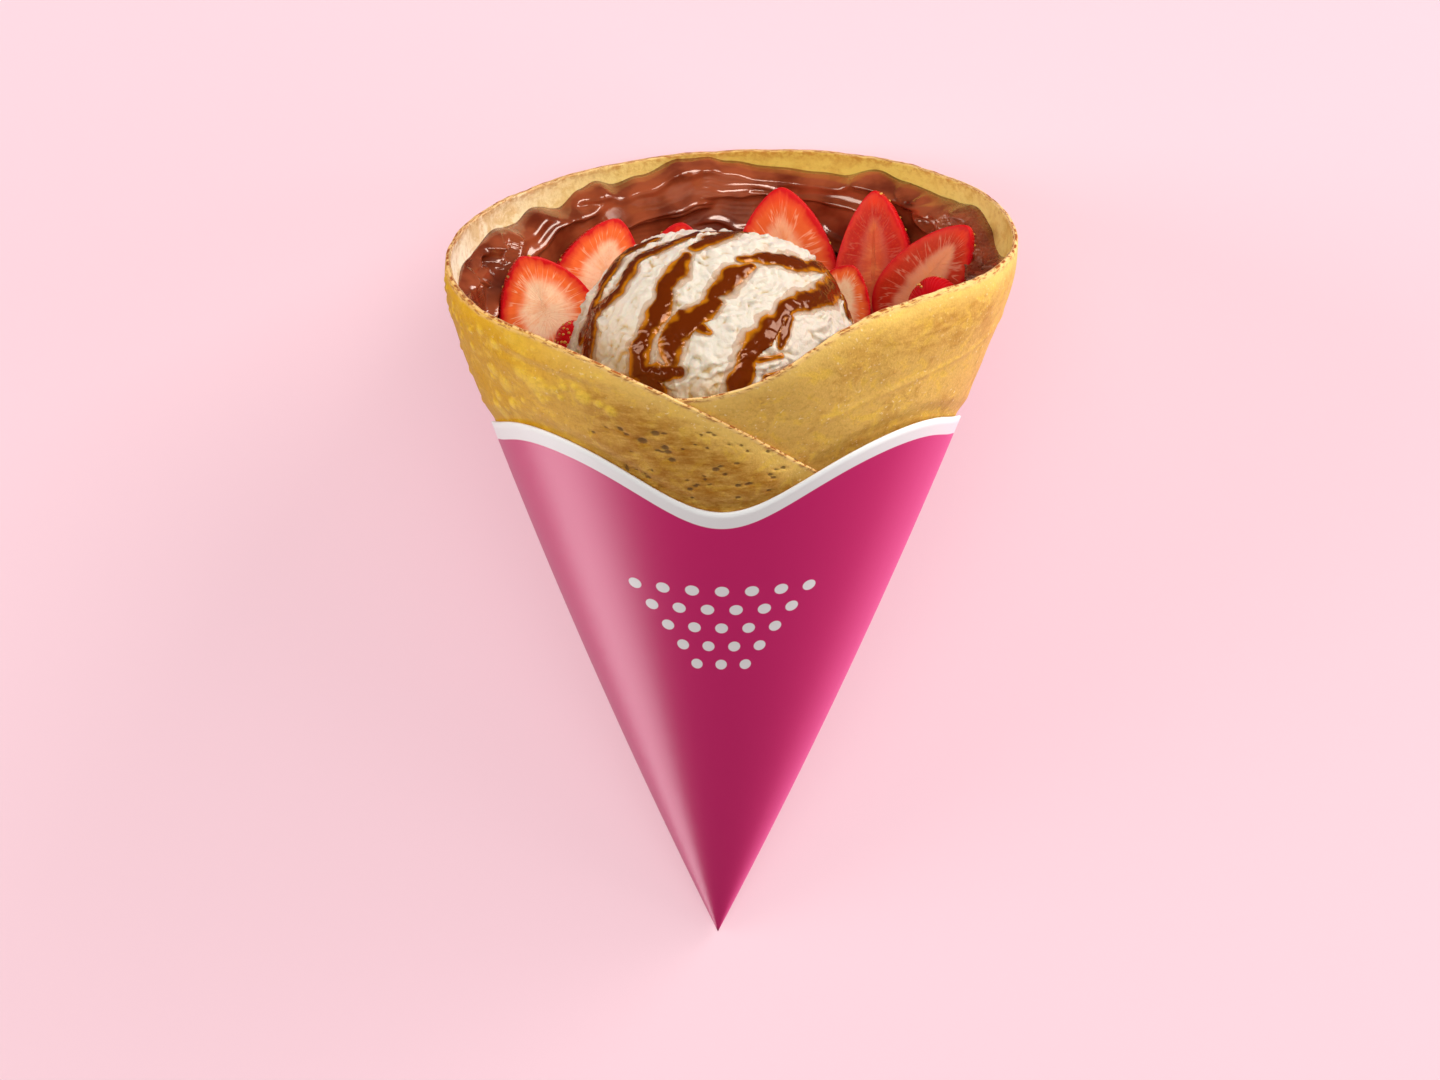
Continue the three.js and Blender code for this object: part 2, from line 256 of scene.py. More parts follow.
# ---- Materials ----
def operator_of(operation):
    """An operator of a wire, which adds the Math node of this operation."""
    return lambda wire, other: wire.paint.maths(operation, wire, other)


class Wire:
    """A socket that stands in a formula: each operation on it adds its Math node."""

    __add__ = __radd__ = operator_of("ADD")
    __sub__ = operator_of("SUBTRACT")
    __mul__ = __rmul__ = operator_of("MULTIPLY")
    __truediv__ = operator_of("DIVIDE")
    __pow__ = operator_of("POWER")

    def __init__(self, paint, socket):
        self.paint = paint
        self.socket = socket

    def __rsub__(self, other):
        return self.paint.maths("SUBTRACT", other, self)

    def size(self):
        return self.paint.maths("ABSOLUTE", self)

    def between(self, low, high):
        """0 where this is low and 1 where it is high, with an even S between."""
        sockets = {"Value": self, "From Min": low, "From Max": high}
        return self.paint.add("ShaderNodeMapRange", {"interpolation_type": "SMOOTHSTEP"}, sockets)


class Paint:
    """One material and the nodes that are added to it."""

    def __init__(self, name, finish):
        self.material = bpy.data.materials.new(name)
        self.material.use_nodes = True
        self.tree = self.material.node_tree
        self.shader = self.tree.nodes["Principled BSDF"]
        for socket, value in finish.items():
            self.shader.inputs[socket].default_value = value

    def add(self, kind, settings, sockets, output=0):
        """Adds a node, with its settings and then the values or links of its sockets."""
        node = self.tree.nodes.new(kind)
        for name, value in settings.items():
            setattr(node, name, value)
        for name, value in sockets.items():
            if isinstance(value, Wire):
                self.tree.links.new(value.socket, node.inputs[name])
            else:
                node.inputs[name].default_value = value
        return Wire(self, node.outputs[output])

    def maths(self, operation, *values):
        return self.add("ShaderNodeMath", {"operation": operation}, dict(enumerate(values)))

    def mark(self, name, output="Fac"):
        return self.add("ShaderNodeAttribute", {"attribute_name": name}, {}, output)

    def place(self):
        return self.add("ShaderNodeTexCoord", {}, {}, "Object")

    def stretched(self, vector, scale):
        return self.add("ShaderNodeMapping", {}, {"Vector": vector, "Scale": scale})

    def noise(self, vector, grain, detail=2.0, roughness=0.5, distortion=0.0):
        """Noise whose features are about grain across, in the vector's own unit."""
        sockets = {"Vector": vector, "Scale": 1 / grain, "Detail": detail}
        sockets |= {"Roughness": roughness, "Distortion": distortion}
        return self.add("ShaderNodeTexNoise", {}, sockets)

    def cells(self, vector, grain):
        """The distance to the nearest of points that lie about grain apart."""
        return self.add("ShaderNodeTexVoronoi", {}, {"Vector": vector, "Scale": 1 / grain}, "Distance")

    def mix(self, factor, first, second):
        """The first colour where the factor is 0, and the second where it is 1."""
        colours = [c if isinstance(c, Wire) else (*c[:3], 1.0) for c in (first, second)]
        sockets = {0: factor, 6: colours[0], 7: colours[1]}
        return self.add("ShaderNodeMix", {"data_type": "RGBA"}, sockets, 2)

    def bump(self, height, distance):
        sockets = {"Height": height, "Distance": distance, "Strength": 1.0}
        return self.add("ShaderNodeBump", {}, sockets)

    def feed(self, **wires):
        """Links wires to the shader's sockets: base_color feeds Base Color."""
        for name, wire in wires.items():
            self.tree.links.new(wire.socket, self.shader.inputs[name.replace("_", " ").title()])
        return self.material


def colour(name, value, description):
    return FloatVectorProperty(
        name=name, description=description, default=value, size=3, min=0, max=1, subtype="COLOR"
    )


def length(name, value, description):
    return FloatProperty(name=name, description=description, default=value * MM, unit="LENGTH")


class PaperLook(bpy.types.PropertyGroup):
    pink: colour("Pink", (0.59, 0.009, 0.138), "Coated outside of the sleeve")
    white: colour("White", (0.80, 0.80, 0.80), "Border, motif and uncoated inside")
    border: length("Border", 4.5, "Width of the white band along the wavy edge")
    dot: length("Dot", 1.5, "Radius of the motif's dots")
    dot_pitch: length("Dot pitch", 6.4, "Distance between the motif's dots")


class CrepeLook(bpy.types.PropertyGroup):
    gold: colour("Gold", (0.62, 0.32, 0.002), "Well buttered batter at the left")
    pale: colour("Pale gold", (0.75, 0.46, 0.11), "Lightly baked batter")
    # Brown also paints the shade along the outer flap's left side.
    brown: colour("Brown", (0.37, 0.145, 0.012), "Baked patches")
    cut: colour("Cut", (0.86, 0.58, 0.27), "Cut edge")
    inside: colour("Inside", (0.71, 0.50, 0.10), "Less baked side")
    bare: colour("Bare", (0.92, 0.81, 0.60), "The least baked part of the inside, at the left")
    wave: length("Wave", 0.5, "Height of the sheet's soft undulations")
    blister: length("Blister", 0.4, "Height of the blisters")


class ChocolateLook(bpy.types.PropertyGroup):
    milk: colour("Chocolate", (0.31, 0.065, 0.022), "The spread")
    dark: colour("Dark", (0.13, 0.018, 0.005), "The spread where it is thick")
    fold: length("Fold", 1.4, "Height of the knife's strokes")
    flake: length("Flake", 0.8, "Height of the flaky part at the right")


class IceCreamLook(bpy.types.PropertyGroup):
    cream: colour("Cream", (0.71, 0.645, 0.535), "Vanilla ice cream")
    # The hollow colour is painted shade, which the ice cream takes in the hollows of its relief.
    hollow_shade: colour("Hollow", (0.56, 0.36, 0.13), "Ice cream in its hollows")
    torn: length("Torn", 1.05, "Height of the torn ledges and lumps")
    grain: length("Grain", 0.045, "Height of the fine grain")
    amber: colour("Amber", (0.50, 0.17, 0.003), "Thin sauce")
    sauce: colour("Sauce", (0.12, 0.017, 0.001), "Thick sauce")
    sauce_depth: length("Sauce depth", 0.6, "Thickness of the sauce in the middle of a strand")


class StrawberryLook(bpy.types.PropertyGroup):
    skin: colour("Skin", (0.58, 0.005, 0.010), "Skin and rim")
    flesh: colour("Flesh", (0.85, 0.15, 0.034), "Flesh under the skin")
    ripe: colour("Ripe flesh", (0.48, 0.012, 0.007), "Flesh that is red nearly to the middle")
    core: colour("Core", (0.97, 0.66, 0.42), "Pale flesh and rays")
    seed: colour("Seed", (0.78, 0.42, 0.06), "Seeds")
    rays: IntProperty(name="Rays", description="Rays round a cut face", default=38, min=6)


class StageLook(bpy.types.PropertyGroup):
    floor: colour("Floor", (0.93, 0.63, 0.70), "Plain pale floor")
    light: FloatProperty(name="Light", description="Strength of all lights", default=1.0, min=0)


# ---- Paper sleeve ----
class CREPECONE_OT_sleeve(bpy.types.Operator):
    """Rolls the paper sleeve, with its wavy white border and a plain dotted motif"""

    bl_idname = "crepecone.sleeve"
    bl_label = "Paper sleeve"

    COLUMNS = 384
    OUTSIDE_ROWS = 80
    INSIDE_ROWS = 24
    MOTIF_HEIGHT = 98
    MOTIF_ROWS = 4

    def section(self, angle):
        edge = sleeve_edge(angle)
        outside = [(flare(height), height, 0) for height in steps(self.OUTSIDE_ROWS, 0, edge)]
        fold = [(flare(edge) - 0.5 * PAPER, edge + 0.2, 0.5 * PAPER)]
        inside = [(flare(h) - PAPER, h, PAPER) for h in steps(self.INSIDE_ROWS, edge, 2 * TIP_SOLID)]
        rings = [*outside, *fold, *inside, (0, TIP_SOLID, PAPER)]
        return [press_flat(around(angle, radius, height), over) for radius, height, over in rings]

    def below_edge(self, point):
        angle, _, height = cone_place(point)
        return sleeve_edge(angle) - height

    def on_inside(self, point):
        _, radius, height = cone_place(point)
        return 1.0 if radius < flare(height) - 0.6 * PAPER and height > TIP_SOLID else 0.0

    def execute(self, context):
        look = context.scene.crepe_paper
        rows = self.OUTSIDE_ROWS + self.INSIDE_ROWS + 3
        bm = spun(self.COLUMNS, rows)
        shape_rings(bm, self.section)
        mark(bm, "below_edge", self.below_edge)
        mark(bm, "inside", self.on_inside)
        mark(bm, "across", lambda p: math.atan2(p.x, p.z) * flare(self.MOTIF_HEIGHT))
        mark(bm, "upward", lambda p: p.y - self.MOTIF_HEIGHT)
        settle("sleeve", bm, LAID, self.paper(look), "sleeve_paper", "paper_sleeve")
        return {"FINISHED"}

    def paper(self, look):
        paint = Paint("coated_paper", {"Coat Weight": 0.1, "Coat Roughness": 0.3})
        border = look.border / MM
        edge = 1 - paint.mark("below_edge").between(border - 0.15, border + 0.15)
        white = paint.maths("MAXIMUM", edge, paint.mark("inside").between(0.4, 0.6))
        white = paint.maths("MAXIMUM", white, self.motif(paint, look))
        fibre = paint.noise(paint.place(), 0.4 * MM, 3)
        cloud = paint.noise(paint.place(), 30 * MM, 2)
        pink = paint.mix(cloud * 0.16, look.pink, [0.8 * c for c in look.pink])
        colour = paint.mix(white, pink, look.white)
        rough = 0.34 + 0.06 * fibre + 0.2 * white
        return paint.feed(base_color=colour, roughness=rough, normal=paint.bump(fibre, 0.012 * MM))

    def motif(self, paint, look):
        """A triangle of dots in front, row by row one dot fewer towards the tip."""
        pitch = look.dot_pitch / MM
        upward = paint.mark("upward") / (0.87 * pitch)
        row = paint.maths("ROUND", upward)
        odd = paint.maths("FLOORED_MODULO", row, 2.0) * 0.5
        across = paint.mark("across") / pitch + odd
        column = paint.maths("ROUND", across)
        away_x = (across - column) * pitch
        away_y = (upward - row) * (0.87 * pitch)
        dot = 1 - paint.maths("SQRT", away_x**2 + away_y**2).between(look.dot / MM - 0.1, look.dot / MM + 0.1)
        half_row = (row + self.MOTIF_ROWS) * 0.5 + 0.3
        in_row = 1 - ((column - odd).size() - half_row).between(-0.1, 0.0)
        in_rows = 1 - (row.size() - self.MOTIF_ROWS / 2).between(0.1, 0.2)
        return dot * in_row * in_rows


# ---- Crepe ----
class CREPECONE_OT_crepe(bpy.types.Operator):
    """Rolls the crepe: one sheet, its left end over its right end in front"""

    bl_idname = "crepecone.crepe"
    bl_label = "Crepe"

    INNER_END = -62
    OUTER_END = 360 + FLAP_TO
    COLUMNS = 690
    HIDDEN_ROWS = 10
    OUTSIDE_ROWS = 84
    LIP_ROWS = 8
    INSIDE_ROWS = 30
    FOLDED_COLUMNS = 96
    FOLDED_ROWS = 21
    # Radii that turn angles into millimetres: for the batter's pattern, its waves and its blisters.
    PATTERN_RADIUS = 58
    WAVE_RADIUS = 55
    SPOT_RADIUS = 60
    # The blisters at the left: angle, height and radius.
    BLISTERS = [
        (-52, 173.8, 1.4), (-48.7, 172.3, 1.9), (-54.2, 167.8, 1.1), (-57.5, 159.8, 1.5), (-54, 157.4, 2.0),
        (-59.7, 152, 1.3), (-46.8, 162.9, 1.8), (-43.4, 161.3, 2.3), (-40, 161.3, 1.3), (-37.6, 161.6, 1.0),
        (-35.2, 162.9, 1.0), (-32.3, 163.7, 1.0), (-30.6, 161.4, 1.9), (-61.7, 147.4, 2.3),
        (-53.8, 152.1, 1.3), (-58.9, 169.9, 1.3), (-36.4, 159.7, 0.8), (-24.4, 159, 1.4), (-27, 160.4, 1.0),
    ]
    SMALL_BLISTERS = 40
    # The pits in the brown middle: angle, height and radius.
    PITS = [
        (-14.8, 154.5, 0.7), (-17.9, 152, 0.8), (-12.9, 150.7, 0.6), (-11.5, 147.4, 0.6), (-23.2, 142.7, 0.5),
        (-17.9, 141.1, 0.5), (-1.7, 145.2, 0.6), (3.4, 140.6, 0.5), (6.2, 141.1, 0.4), (-4.2, 142.2, 0.4),
        (0.4, 143.8, 0.4), (-7.8, 139.1, 0.5), (-12.3, 149.6, 0.6),
    ]
    SMALL_PITS = 46
    MARKS = ("gold", "brown", "cut", "inside", "spot", "bare", "pit", "rim", "band")
    # Tones that the batter's own colours are mixed with.
    PATCH = (0.52, 0.24, 0.03)
    LIGHT_PATCH = (0.86, 0.56, 0.05)
    BLISTER = (0.90, 0.62, 0.06)
    SPECK = (0.34, 0.14, 0.012)
    GRAIN = (0.28, 0.10, 0.010)
    PALE_EDGE = (0.88, 0.60, 0.16)
    GOLD_EDGE = (0.74, 0.42, 0.01)
    FLECK = (0.97, 0.84, 0.52)
    BAKED_INSIDE = (0.56, 0.31, 0.055)
    SPECK_INSIDE = (0.42, 0.20, 0.035)
    TOASTED_RIM = (0.44, 0.15, 0.02)
    BROWNED_CUT = (0.34, 0.085, 0.014)
    PIT = (0.12, 0.06, 0.03)

    def execute(self, context):
        look = context.scene.crepe_batter
        self.wave = look.wave / MM
        self.blister = look.blister / MM
        rng = random.Random(12)
        small = [
            (rng.uniform(-88, -40), rng.uniform(142, 174), rng.uniform(0.5, 1.1))
            for _ in range(self.SMALL_BLISTERS)
        ]
        self.spots = self.BLISTERS + small
        self.pits = self.PITS + [
            (rng.gauss(-6, 13), rng.uniform(136, 156), rng.uniform(0.25, 0.45))
            for _ in range(self.SMALL_PITS)
        ]
        material = self.batter(look)
        rows = self.OUTSIDE_ROWS + self.LIP_ROWS + self.INSIDE_ROWS
        bm = bmesh.new()
        bmesh.ops.create_grid(bm, x_segments=self.COLUMNS, y_segments=rows, size=0.5)
        feet = [
            edge
            for edge in bm.edges
            if edge.is_boundary and abs(edge.verts[0].co.y) > 0.499 and abs(edge.verts[1].co.y) > 0.499
        ]
        bmesh.ops.bridge_loops(bm, edges=feet)
        marks = dict(zip(self.MARKS, layers(bm, *self.MARKS)))
        spread_out = bm.verts.layers.float_vector.new("sheet")
        for vert in bm.verts:
            roll = self.INNER_END + (self.OUTER_END - self.INNER_END) * (vert.co.x + 0.5)
            vert.co, values = self.sheet(roll, round((vert.co.y + 0.5) * rows))
            vert[spread_out] = (math.radians(roll) * self.PATTERN_RADIUS, vert.co.y, 9 * values["inside"])
            for name, layer in marks.items():
                vert[layer] = values[name]
        bmesh.ops.holes_fill(bm, edges=[edge for edge in bm.edges if edge.is_boundary], sides=0)
        settle("crepe_sheet", bm, LAID, material, "crepe", "crepe")

        bm = spun(self.FOLDED_COLUMNS, self.FOLDED_ROWS + 3)
        shape_rings(bm, self.folded_layers)
        settle("crepe_folded_layers", bm, LAID, material, "crepe", "crepe")
        return {"FINISHED"}

    def folded_layers(self, angle):
        heights = steps(self.FOLDED_ROWS, ROLL_TIP, FLOOR_HEIGHT)
        inset = PAPER + GAP + 0.2
        rings = [(flare(h) - inset - 2.6 * smooth(h, 92, 114), h) for h in heights]
        points = [(0, ROLL_TIP), *rings, (0.6 * rings[-1][0], FLOOR_HEIGHT), (0, FLOOR_HEIGHT)]
        return [press_flat(around(angle, radius, height), inset) for radius, height in points]

    def sheet(self, roll, row):
        """A point of the sheet and its marks; roll goes from the inner end round to the outer end."""
        angle = roll if roll < 180 else roll - 360
        outer = roll > 180
        if not outer:
            edge = inner_edge(angle) + smooth(angle, 45, 85) * (rim_height(angle) - inner_edge(angle))
        elif angle > FLAP_FROM:
            edge = flap_edge(angle)
        else:
            edge = rim_height(angle) - 0.26 * smooth(angle, -110, FLAP_FROM)
        edge += 0.35 * noise.noise(Vector((roll / 7, 2.5, 0)))
        edge += 0.15 * noise.noise(Vector((roll / 2, 7.5, 0)))
        top = edge - 0.5 * RIM_SHEET
        shown = sleeve_edge(angle) - 5
        cut, inside = 0.0, 0.0
        if row < self.HIDDEN_ROWS:
            height = FLAP_FOOT + (shown - FLAP_FOOT) * row / self.HIDDEN_ROWS
            inwards = 0.0
        elif row <= self.OUTSIDE_ROWS:
            height = shown + (top - shown) * (row - self.HIDDEN_ROWS) / (self.OUTSIDE_ROWS - self.HIDDEN_ROWS)
            inwards = 0.0
            cut = 0.9 * (1 - smooth(edge - height, 0.5, 1.7))
        elif row < self.OUTSIDE_ROWS + self.LIP_ROWS:
            turn = math.pi * (row - self.OUTSIDE_ROWS) / self.LIP_ROWS
            inwards = 0.5 * RIM_SHEET * (1 - math.cos(turn))
            height = top + 0.4 * RIM_SHEET * math.sin(turn)
            cut = smooth(math.sin(turn), 0.25, 0.75)
            inside = smooth(inwards, 0.5 * RIM_SHEET, 0.8 * RIM_SHEET)
        else:
            down = (row - self.OUTSIDE_ROWS - self.LIP_ROWS) / self.INSIDE_ROWS
            height = top - (top - FLOOR_HEIGHT) * down**1.3
            inwards, inside = thickness(top - height), 1.0
        radius = roll_radius(angle, height) - crepe_inset(angle, height)
        if outer:
            hug = (SHEET - thickness(edge - height)) * smooth(angle, -62, -40) * (angle < 90)
            radius -= hug
        else:
            radius -= tuck(angle, height)
        place = around(roll, self.WAVE_RADIUS, height)
        wave = noise.noise(place / 17) + 0.5 * noise.noise(place / 6.5)
        radius += self.wave * smooth(height - sleeve_edge(angle), 0.5, 9) * wave
        radius += self.crease(angle, height, outer) * (1 - inside)
        spot = self.bumps_at(self.spots, angle, height) if outer and not inside else 0.0
        pit = self.bumps_at(self.pits, angle, height, 1.5) if outer and not inside else 0.0
        radius += self.blister * (spot - 1.6 * pit) - inwards
        values = {
            "gold": smooth(-angle, 12, 62) if outer or angle < 0 else 0.0,
            "brown": 0.0 if inside else self.baked(angle, height, edge - height, outer),
            "cut": cut,
            "inside": inside,
            "spot": spot,
            "bare": hump(angle, -100, 44) + 0.15 * hump(angle, 110, 22),
            "pit": pit,
            "rim": (0.2 + 0.8 * inside) * hump(max(0.0, edge - height), 0, 1.6),
            "band": (1 - inside) * (1 - smooth(edge - height, 1.5, 6.5)),
        }
        point = around(angle, radius, height)
        return press_flat(point, max(0.02, roll_radius(angle, height) - radius)), values

    def bumps_at(self, spots, angle, height, stretch=1.0):
        """How near a place is to the middle of a blister or pit: 1 there, and 0 a little outside it."""
        rise = 0.0
        for spot_angle, spot_height, size in spots:
            if abs(angle - spot_angle) < 5 and abs(height - spot_height) < 2 * size:
                across = math.radians(angle - spot_angle) * self.SPOT_RADIUS / stretch
                away = ((across / size) ** 2 + ((height - spot_height) / size) ** 2) * 0.8
                rise = max(rise, math.exp(-(away**1.5)))
        return rise

    def crease(self, angle, height, outer):
        """The faint raised fold across the right flap, and the soft one under the left flap's edge."""
        if outer:
            line = 166.3 - 0.1 * (angle + 26)
            span = smooth(angle, -60, -50) * (1 - smooth(angle, -30, -18))
            return 0.3 * span * (hump(height - line, 0, 1.2) - hump(height - line, -2, 1.4))
        line = 165.5 - 12.5 * math.exp(-(angle - 17) / 19)
        span = smooth(angle, 14, 26) * (1 - smooth(angle, 80, 92))
        return 0.28 * span * hump(height, line, 0.75)

    def baked(self, angle, height, below, outer):
        """How brown the outside is: most in the middle of both flaps, away from their edges, and painted
        shade that darkens the outer flap's left side, where it turns away.
        """
        if outer:
            flap = smooth(angle, -44, -20) * smooth(below, 3, 11)
            # The brown that rises along the outer flap's left side is painted shade.
            return min(1.0, flap + 0.45 * smooth(-angle, 64, 76) + 0.4 * smooth(-angle, 76, 88))
        edge = 0.75 * hump(angle, 50, 27) * hump(below, 9, 8)
        low = 0.5 * (1 - smooth(angle, 30, 60)) * (1 - smooth(height, 148, 158))
        return min(1.0, edge + low) * smooth(below, 1, 4)

    def batter(self, look):
        finish = {"Subsurface Weight": 0.08, "Subsurface Scale": 1.0 * MM, "Specular IOR Level": 0.12}
        finish["Specular Tint"] = (1.0, 0.78, 0.35, 1.0)
        paint = Paint("baked_batter", finish)
        sheet = paint.mark("sheet", "Vector")
        marks = {name: paint.mark(name) for name in self.MARKS}
        cloud = paint.noise(sheet, 12, 3, 0.5)
        mottle = paint.noise(sheet, 4.2, 5, 0.62, 0.8)
        grain = paint.noise(sheet, 0.6, 2, 0.6)
        speck = paint.noise(sheet, 1.5, 3, 0.65)
        streaks = paint.noise(paint.stretched(sheet, (0.5, 1.3, 1)), 2.6, 4, 0.7)
        colour = paint.mix(marks["gold"], look.pale, look.gold)
        # The brown mark carries baked patches and the painted shade along the outer flap's left side.
        toasted_and_left_shade = marks["brown"] * (0.45 + 1.5 * (streaks - 0.45))
        patches = (0.5 * mottle + 0.5 * cloud).between(0.48, 0.66) * 0.5 * (1 - 0.5 * marks["gold"])
        colour = paint.mix(patches, colour, self.PATCH)
        colour = paint.mix(toasted_and_left_shade.between(0.0, 0.85), colour, look.brown)
        lighter = (0.5 - mottle).between(0.0, 0.15) * 0.5 * (1 - 0.6 * marks["brown"])
        colour = paint.mix(lighter, colour, self.LIGHT_PATCH)
        colour = paint.mix(marks["spot"].between(0.05, 0.85) * 0.55, colour, self.BLISTER)
        colour = paint.mix(speck.between(0.48, 0.68) * 0.24, colour, self.SPECK)
        colour = paint.mix(grain.between(0.42, 0.70) * 0.16, colour, self.GRAIN)
        edge_tone = paint.mix(marks["gold"], self.PALE_EDGE, self.GOLD_EDGE)
        colour = paint.mix(marks["band"] * 0.55, colour, edge_tone)
        fleck = 0.7 * paint.noise(sheet, 1.1, 2).between(0.63, 0.70) * (cloud.between(0.42, 0.55) * 0.7 + 0.1)
        fleck = fleck * (1 - marks["brown"]) * (1 - 0.7 * marks["gold"])
        colour = paint.mix(fleck, colour, self.FLECK)
        baked_side = (0.55 * mottle + 0.45 * cloud).between(0.46, 0.60)
        inner = paint.mix(marks["bare"], look.inside, look.bare)
        inner = paint.mix(baked_side * 0.55, inner, self.BAKED_INSIDE)
        inner = paint.mix(speck.between(0.5, 0.7) * 0.3, inner, self.SPECK_INSIDE)
        colour = paint.mix(marks["inside"], colour, inner)
        toasted_rim = marks["rim"] * (0.45 * streaks + 0.55 * speck).between(0.44, 0.56)
        colour = paint.mix(toasted_rim * 0.7, colour, self.TOASTED_RIM)
        colour = paint.mix(marks["cut"] * 0.7, colour, look.cut)
        browned = paint.noise(paint.stretched(sheet, (0.5, 1.2, 1.2)), 1.2, 3, 0.65).between(0.47, 0.58)
        colour = paint.mix(marks["cut"] * browned, colour, self.BROWNED_CUT)
        pit = marks["pit"].between(0.25, 0.7)
        colour = paint.mix(pit * 0.75, colour, self.PIT)
        height = grain * 0.2 + mottle * 0.3 + speck * 0.15
        rough = 0.5 + 0.2 * mottle - 0.12 * marks["gold"]
        return paint.feed(base_color=colour, roughness=rough, normal=paint.bump(height, 0.65 * MM))


# ---- Chocolate spread ----
# The spread's top edge round the back of the wall: angle and height, from the left to the right.
SPREAD_LINE = [
    (-120, 166.8), (-128, 168.5), (-134, 170.9), (-141, 169.4), (-147, 172.0), (-151, 173.4), (-155, 172.2),
    (-161, 173.3), (-170, 176.6), (-176, 177.4), (-180, 176.2), (-187, 175.0), (-198, 174.9), (-205, 175.0),
    (-214, 177.6), (-220, 176.4), (-227, 176.2), (-236, 176.4), (-243, 177.8), (-251, 175.9), (-258, 172.5),
]


class CREPECONE_OT_chocolate(bpy.types.Operator):
    """Spreads the chocolate on the crepe's inside, stroke over stroke as a knife leaves it"""

    bl_idname = "crepecone.chocolate"
    bl_label = "Chocolate"

    COLUMNS = 560
    INSIDE_ROWS = 104
    FLOOR_ROWS = 30
    WALL_RADIUS = 60
    # Angle and height of a small hole at the left and of a curl at the right, and radii for their angles.
    HOLE, HOLE_RADIUS = (-112, 164.6), 58
    CURL, CURL_RADIUS = (127, 171.2), 62
    # Strokes that show: (along, up) of the middle in millimetres from the middle of the back, half length,
    # half width, slope in degrees, level, lift of the ridges at its sides.
    STROKES = [
        (-66, 158, 22, 5.5, 16, 0.9, 1.0), (-52, 167, 15, 4.4, 26, 1.4, 0.9),
        (-36, 163, 24, 5.0, 10, 0.5, 1.4), (-14, 170.5, 22, 5.4, 5, 1.6, 1.0),
        (-10, 161.5, 20, 4.2, 3, -0.4, 1.2), (12, 175, 20, 4.2, -4, 1.2, 1.1),
        (16, 166.5, 24, 3.6, -1, 0.1, 1.5), (34, 172.5, 20, 4.2, -6, 0.9, 1.2),
        (42, 161, 8, 9, 66, -1.0, 1.3), (54, 170, 18, 4.4, -4, 0.8, 1.0),
        (62, 159, 10, 8, 70, -0.6, 1.0), (78, 165, 18, 4.0, -16, 0.7, 1.3),
    ]
    RANDOM_STROKES = 80
    CHIPPED = (0.30, 0.12, 0.055)

    def edge(self, angle):
        turn = math.radians(angle)
        bare = 4.6 + 3.4 * abs(math.sin(turn)) ** 3 + 3 * max(0.0, math.cos(turn)) ** 2
        wave = 1.1 * math.sin(9 * turn + 0.8) + 0.7 * math.sin(17 * turn)
        plain = min(wall_edge(angle), rim_height(angle)) - bare + wave
        back = angle if angle < 0 else angle - 360
        first, last = SPREAD_LINE[0][0], SPREAD_LINE[-1][0]
        if not last <= back <= first:
            return plain
        for (here, low), (there, high) in zip(SPREAD_LINE, SPREAD_LINE[1:]):
            if there <= back <= here:
                line = low + (high - low) * smooth(-back, -here, -there)
        blend = smooth(min(first - back, back - last), 0, 12)
        return plain + blend * (line - plain)

    def lay_strokes(self):
        rng = random.Random(4)
        strokes = []
        for _ in range(self.RANDOM_STROKES):
            along, up = rng.uniform(-118, 118), rng.uniform(147, 178)
            half, wide = rng.uniform(7, 18), rng.uniform(1.4, 4.4)
            slope, level, lift = rng.gauss(0, 16), rng.uniform(-1.2, 1.2), rng.uniform(0.5, 1.5)
            strokes.append((along, up, half, wide, slope, level, lift))
        self.strokes = []
        for index, (*place, slope, level, lift) in enumerate(strokes + self.STROKES):
            turn = math.radians(slope)
            self.strokes.append((*place, math.cos(turn), math.sin(turn), level, lift, 3.7 * index))

    def relief(self, angle, height):
        """The height of the strokes: each one levels what lies under it and pushes up its two sides."""
        back = smooth(-math.cos(math.radians(angle)), -0.6, 0.3)
        if not back:
            return 0.0
        along = -math.radians(angle % 360 - 180) * self.WALL_RADIUS
        sway = Vector((along / 12, height / 9, 0))
        along += 3 * noise.noise(sway + Vector((0, 0, 4)))
        up = height + 2.6 * noise.noise(sway) + 0.7 * noise.noise(2.7 * sway)
        level = 0.0
        for x, y, half, wide, turn_x, turn_y, base, lift, seed in self.strokes:
            dx, dy = along - x, up - y
            run = (dx * turn_x + dy * turn_y) / half
            if abs(run) > 1:
                continue
            side = (dy * turn_x - dx * turn_y + 2.2 * run * run) / wide
            if abs(side) > 1.16:
                continue
            cover = smooth(1 - abs(run), 0, 0.22) * (1 - smooth(abs(side), 1.02, 1.16))
            ridge = hump(side, 0.90, 0.16) + 0.45 * hump(side, -0.90, 0.14)
            groove = 0.08 * noise.noise(Vector((side * 5 + seed, seed, dx / 16)))
            tilt = 0.5 * side + 0.55 * side * side
            level += cover * (base + tilt + lift * (0.6 + 0.4 * run) * ridge + groove - level)
        level = self.fold * level
        flaky = self.flaky(angle)
        if flaky:
            spot = around(angle, self.WALL_RADIUS, height)
            chips = abs(noise.noise(spot / 2.1)) + 0.6 * abs(noise.noise(spot / 0.9))
            level += flaky * self.flake * (1.8 * chips - 0.5)
        return back * level + self.curl(angle, height)

    def flaky(self, angle):
        return smooth(angle, 84, 102) * (1 - smooth(angle, 118, 130))

    def curl(self, angle, height):
        """A loop that the knife left near the edge at the right."""
        across = math.radians(angle - self.CURL[0]) * self.CURL_RADIUS
        if abs(across) > 12:
            return 0.0
        up = height - self.CURL[1] - 0.10 * across
        ring = math.hypot(across / 4.6, up / 1.7) - 1
        loop = hump(ring, 0, 0.33)
        middle = math.exp(-((across / 3.4) ** 2) - (up / 0.9) ** 2)
        return 1.3 * loop - 0.9 * middle

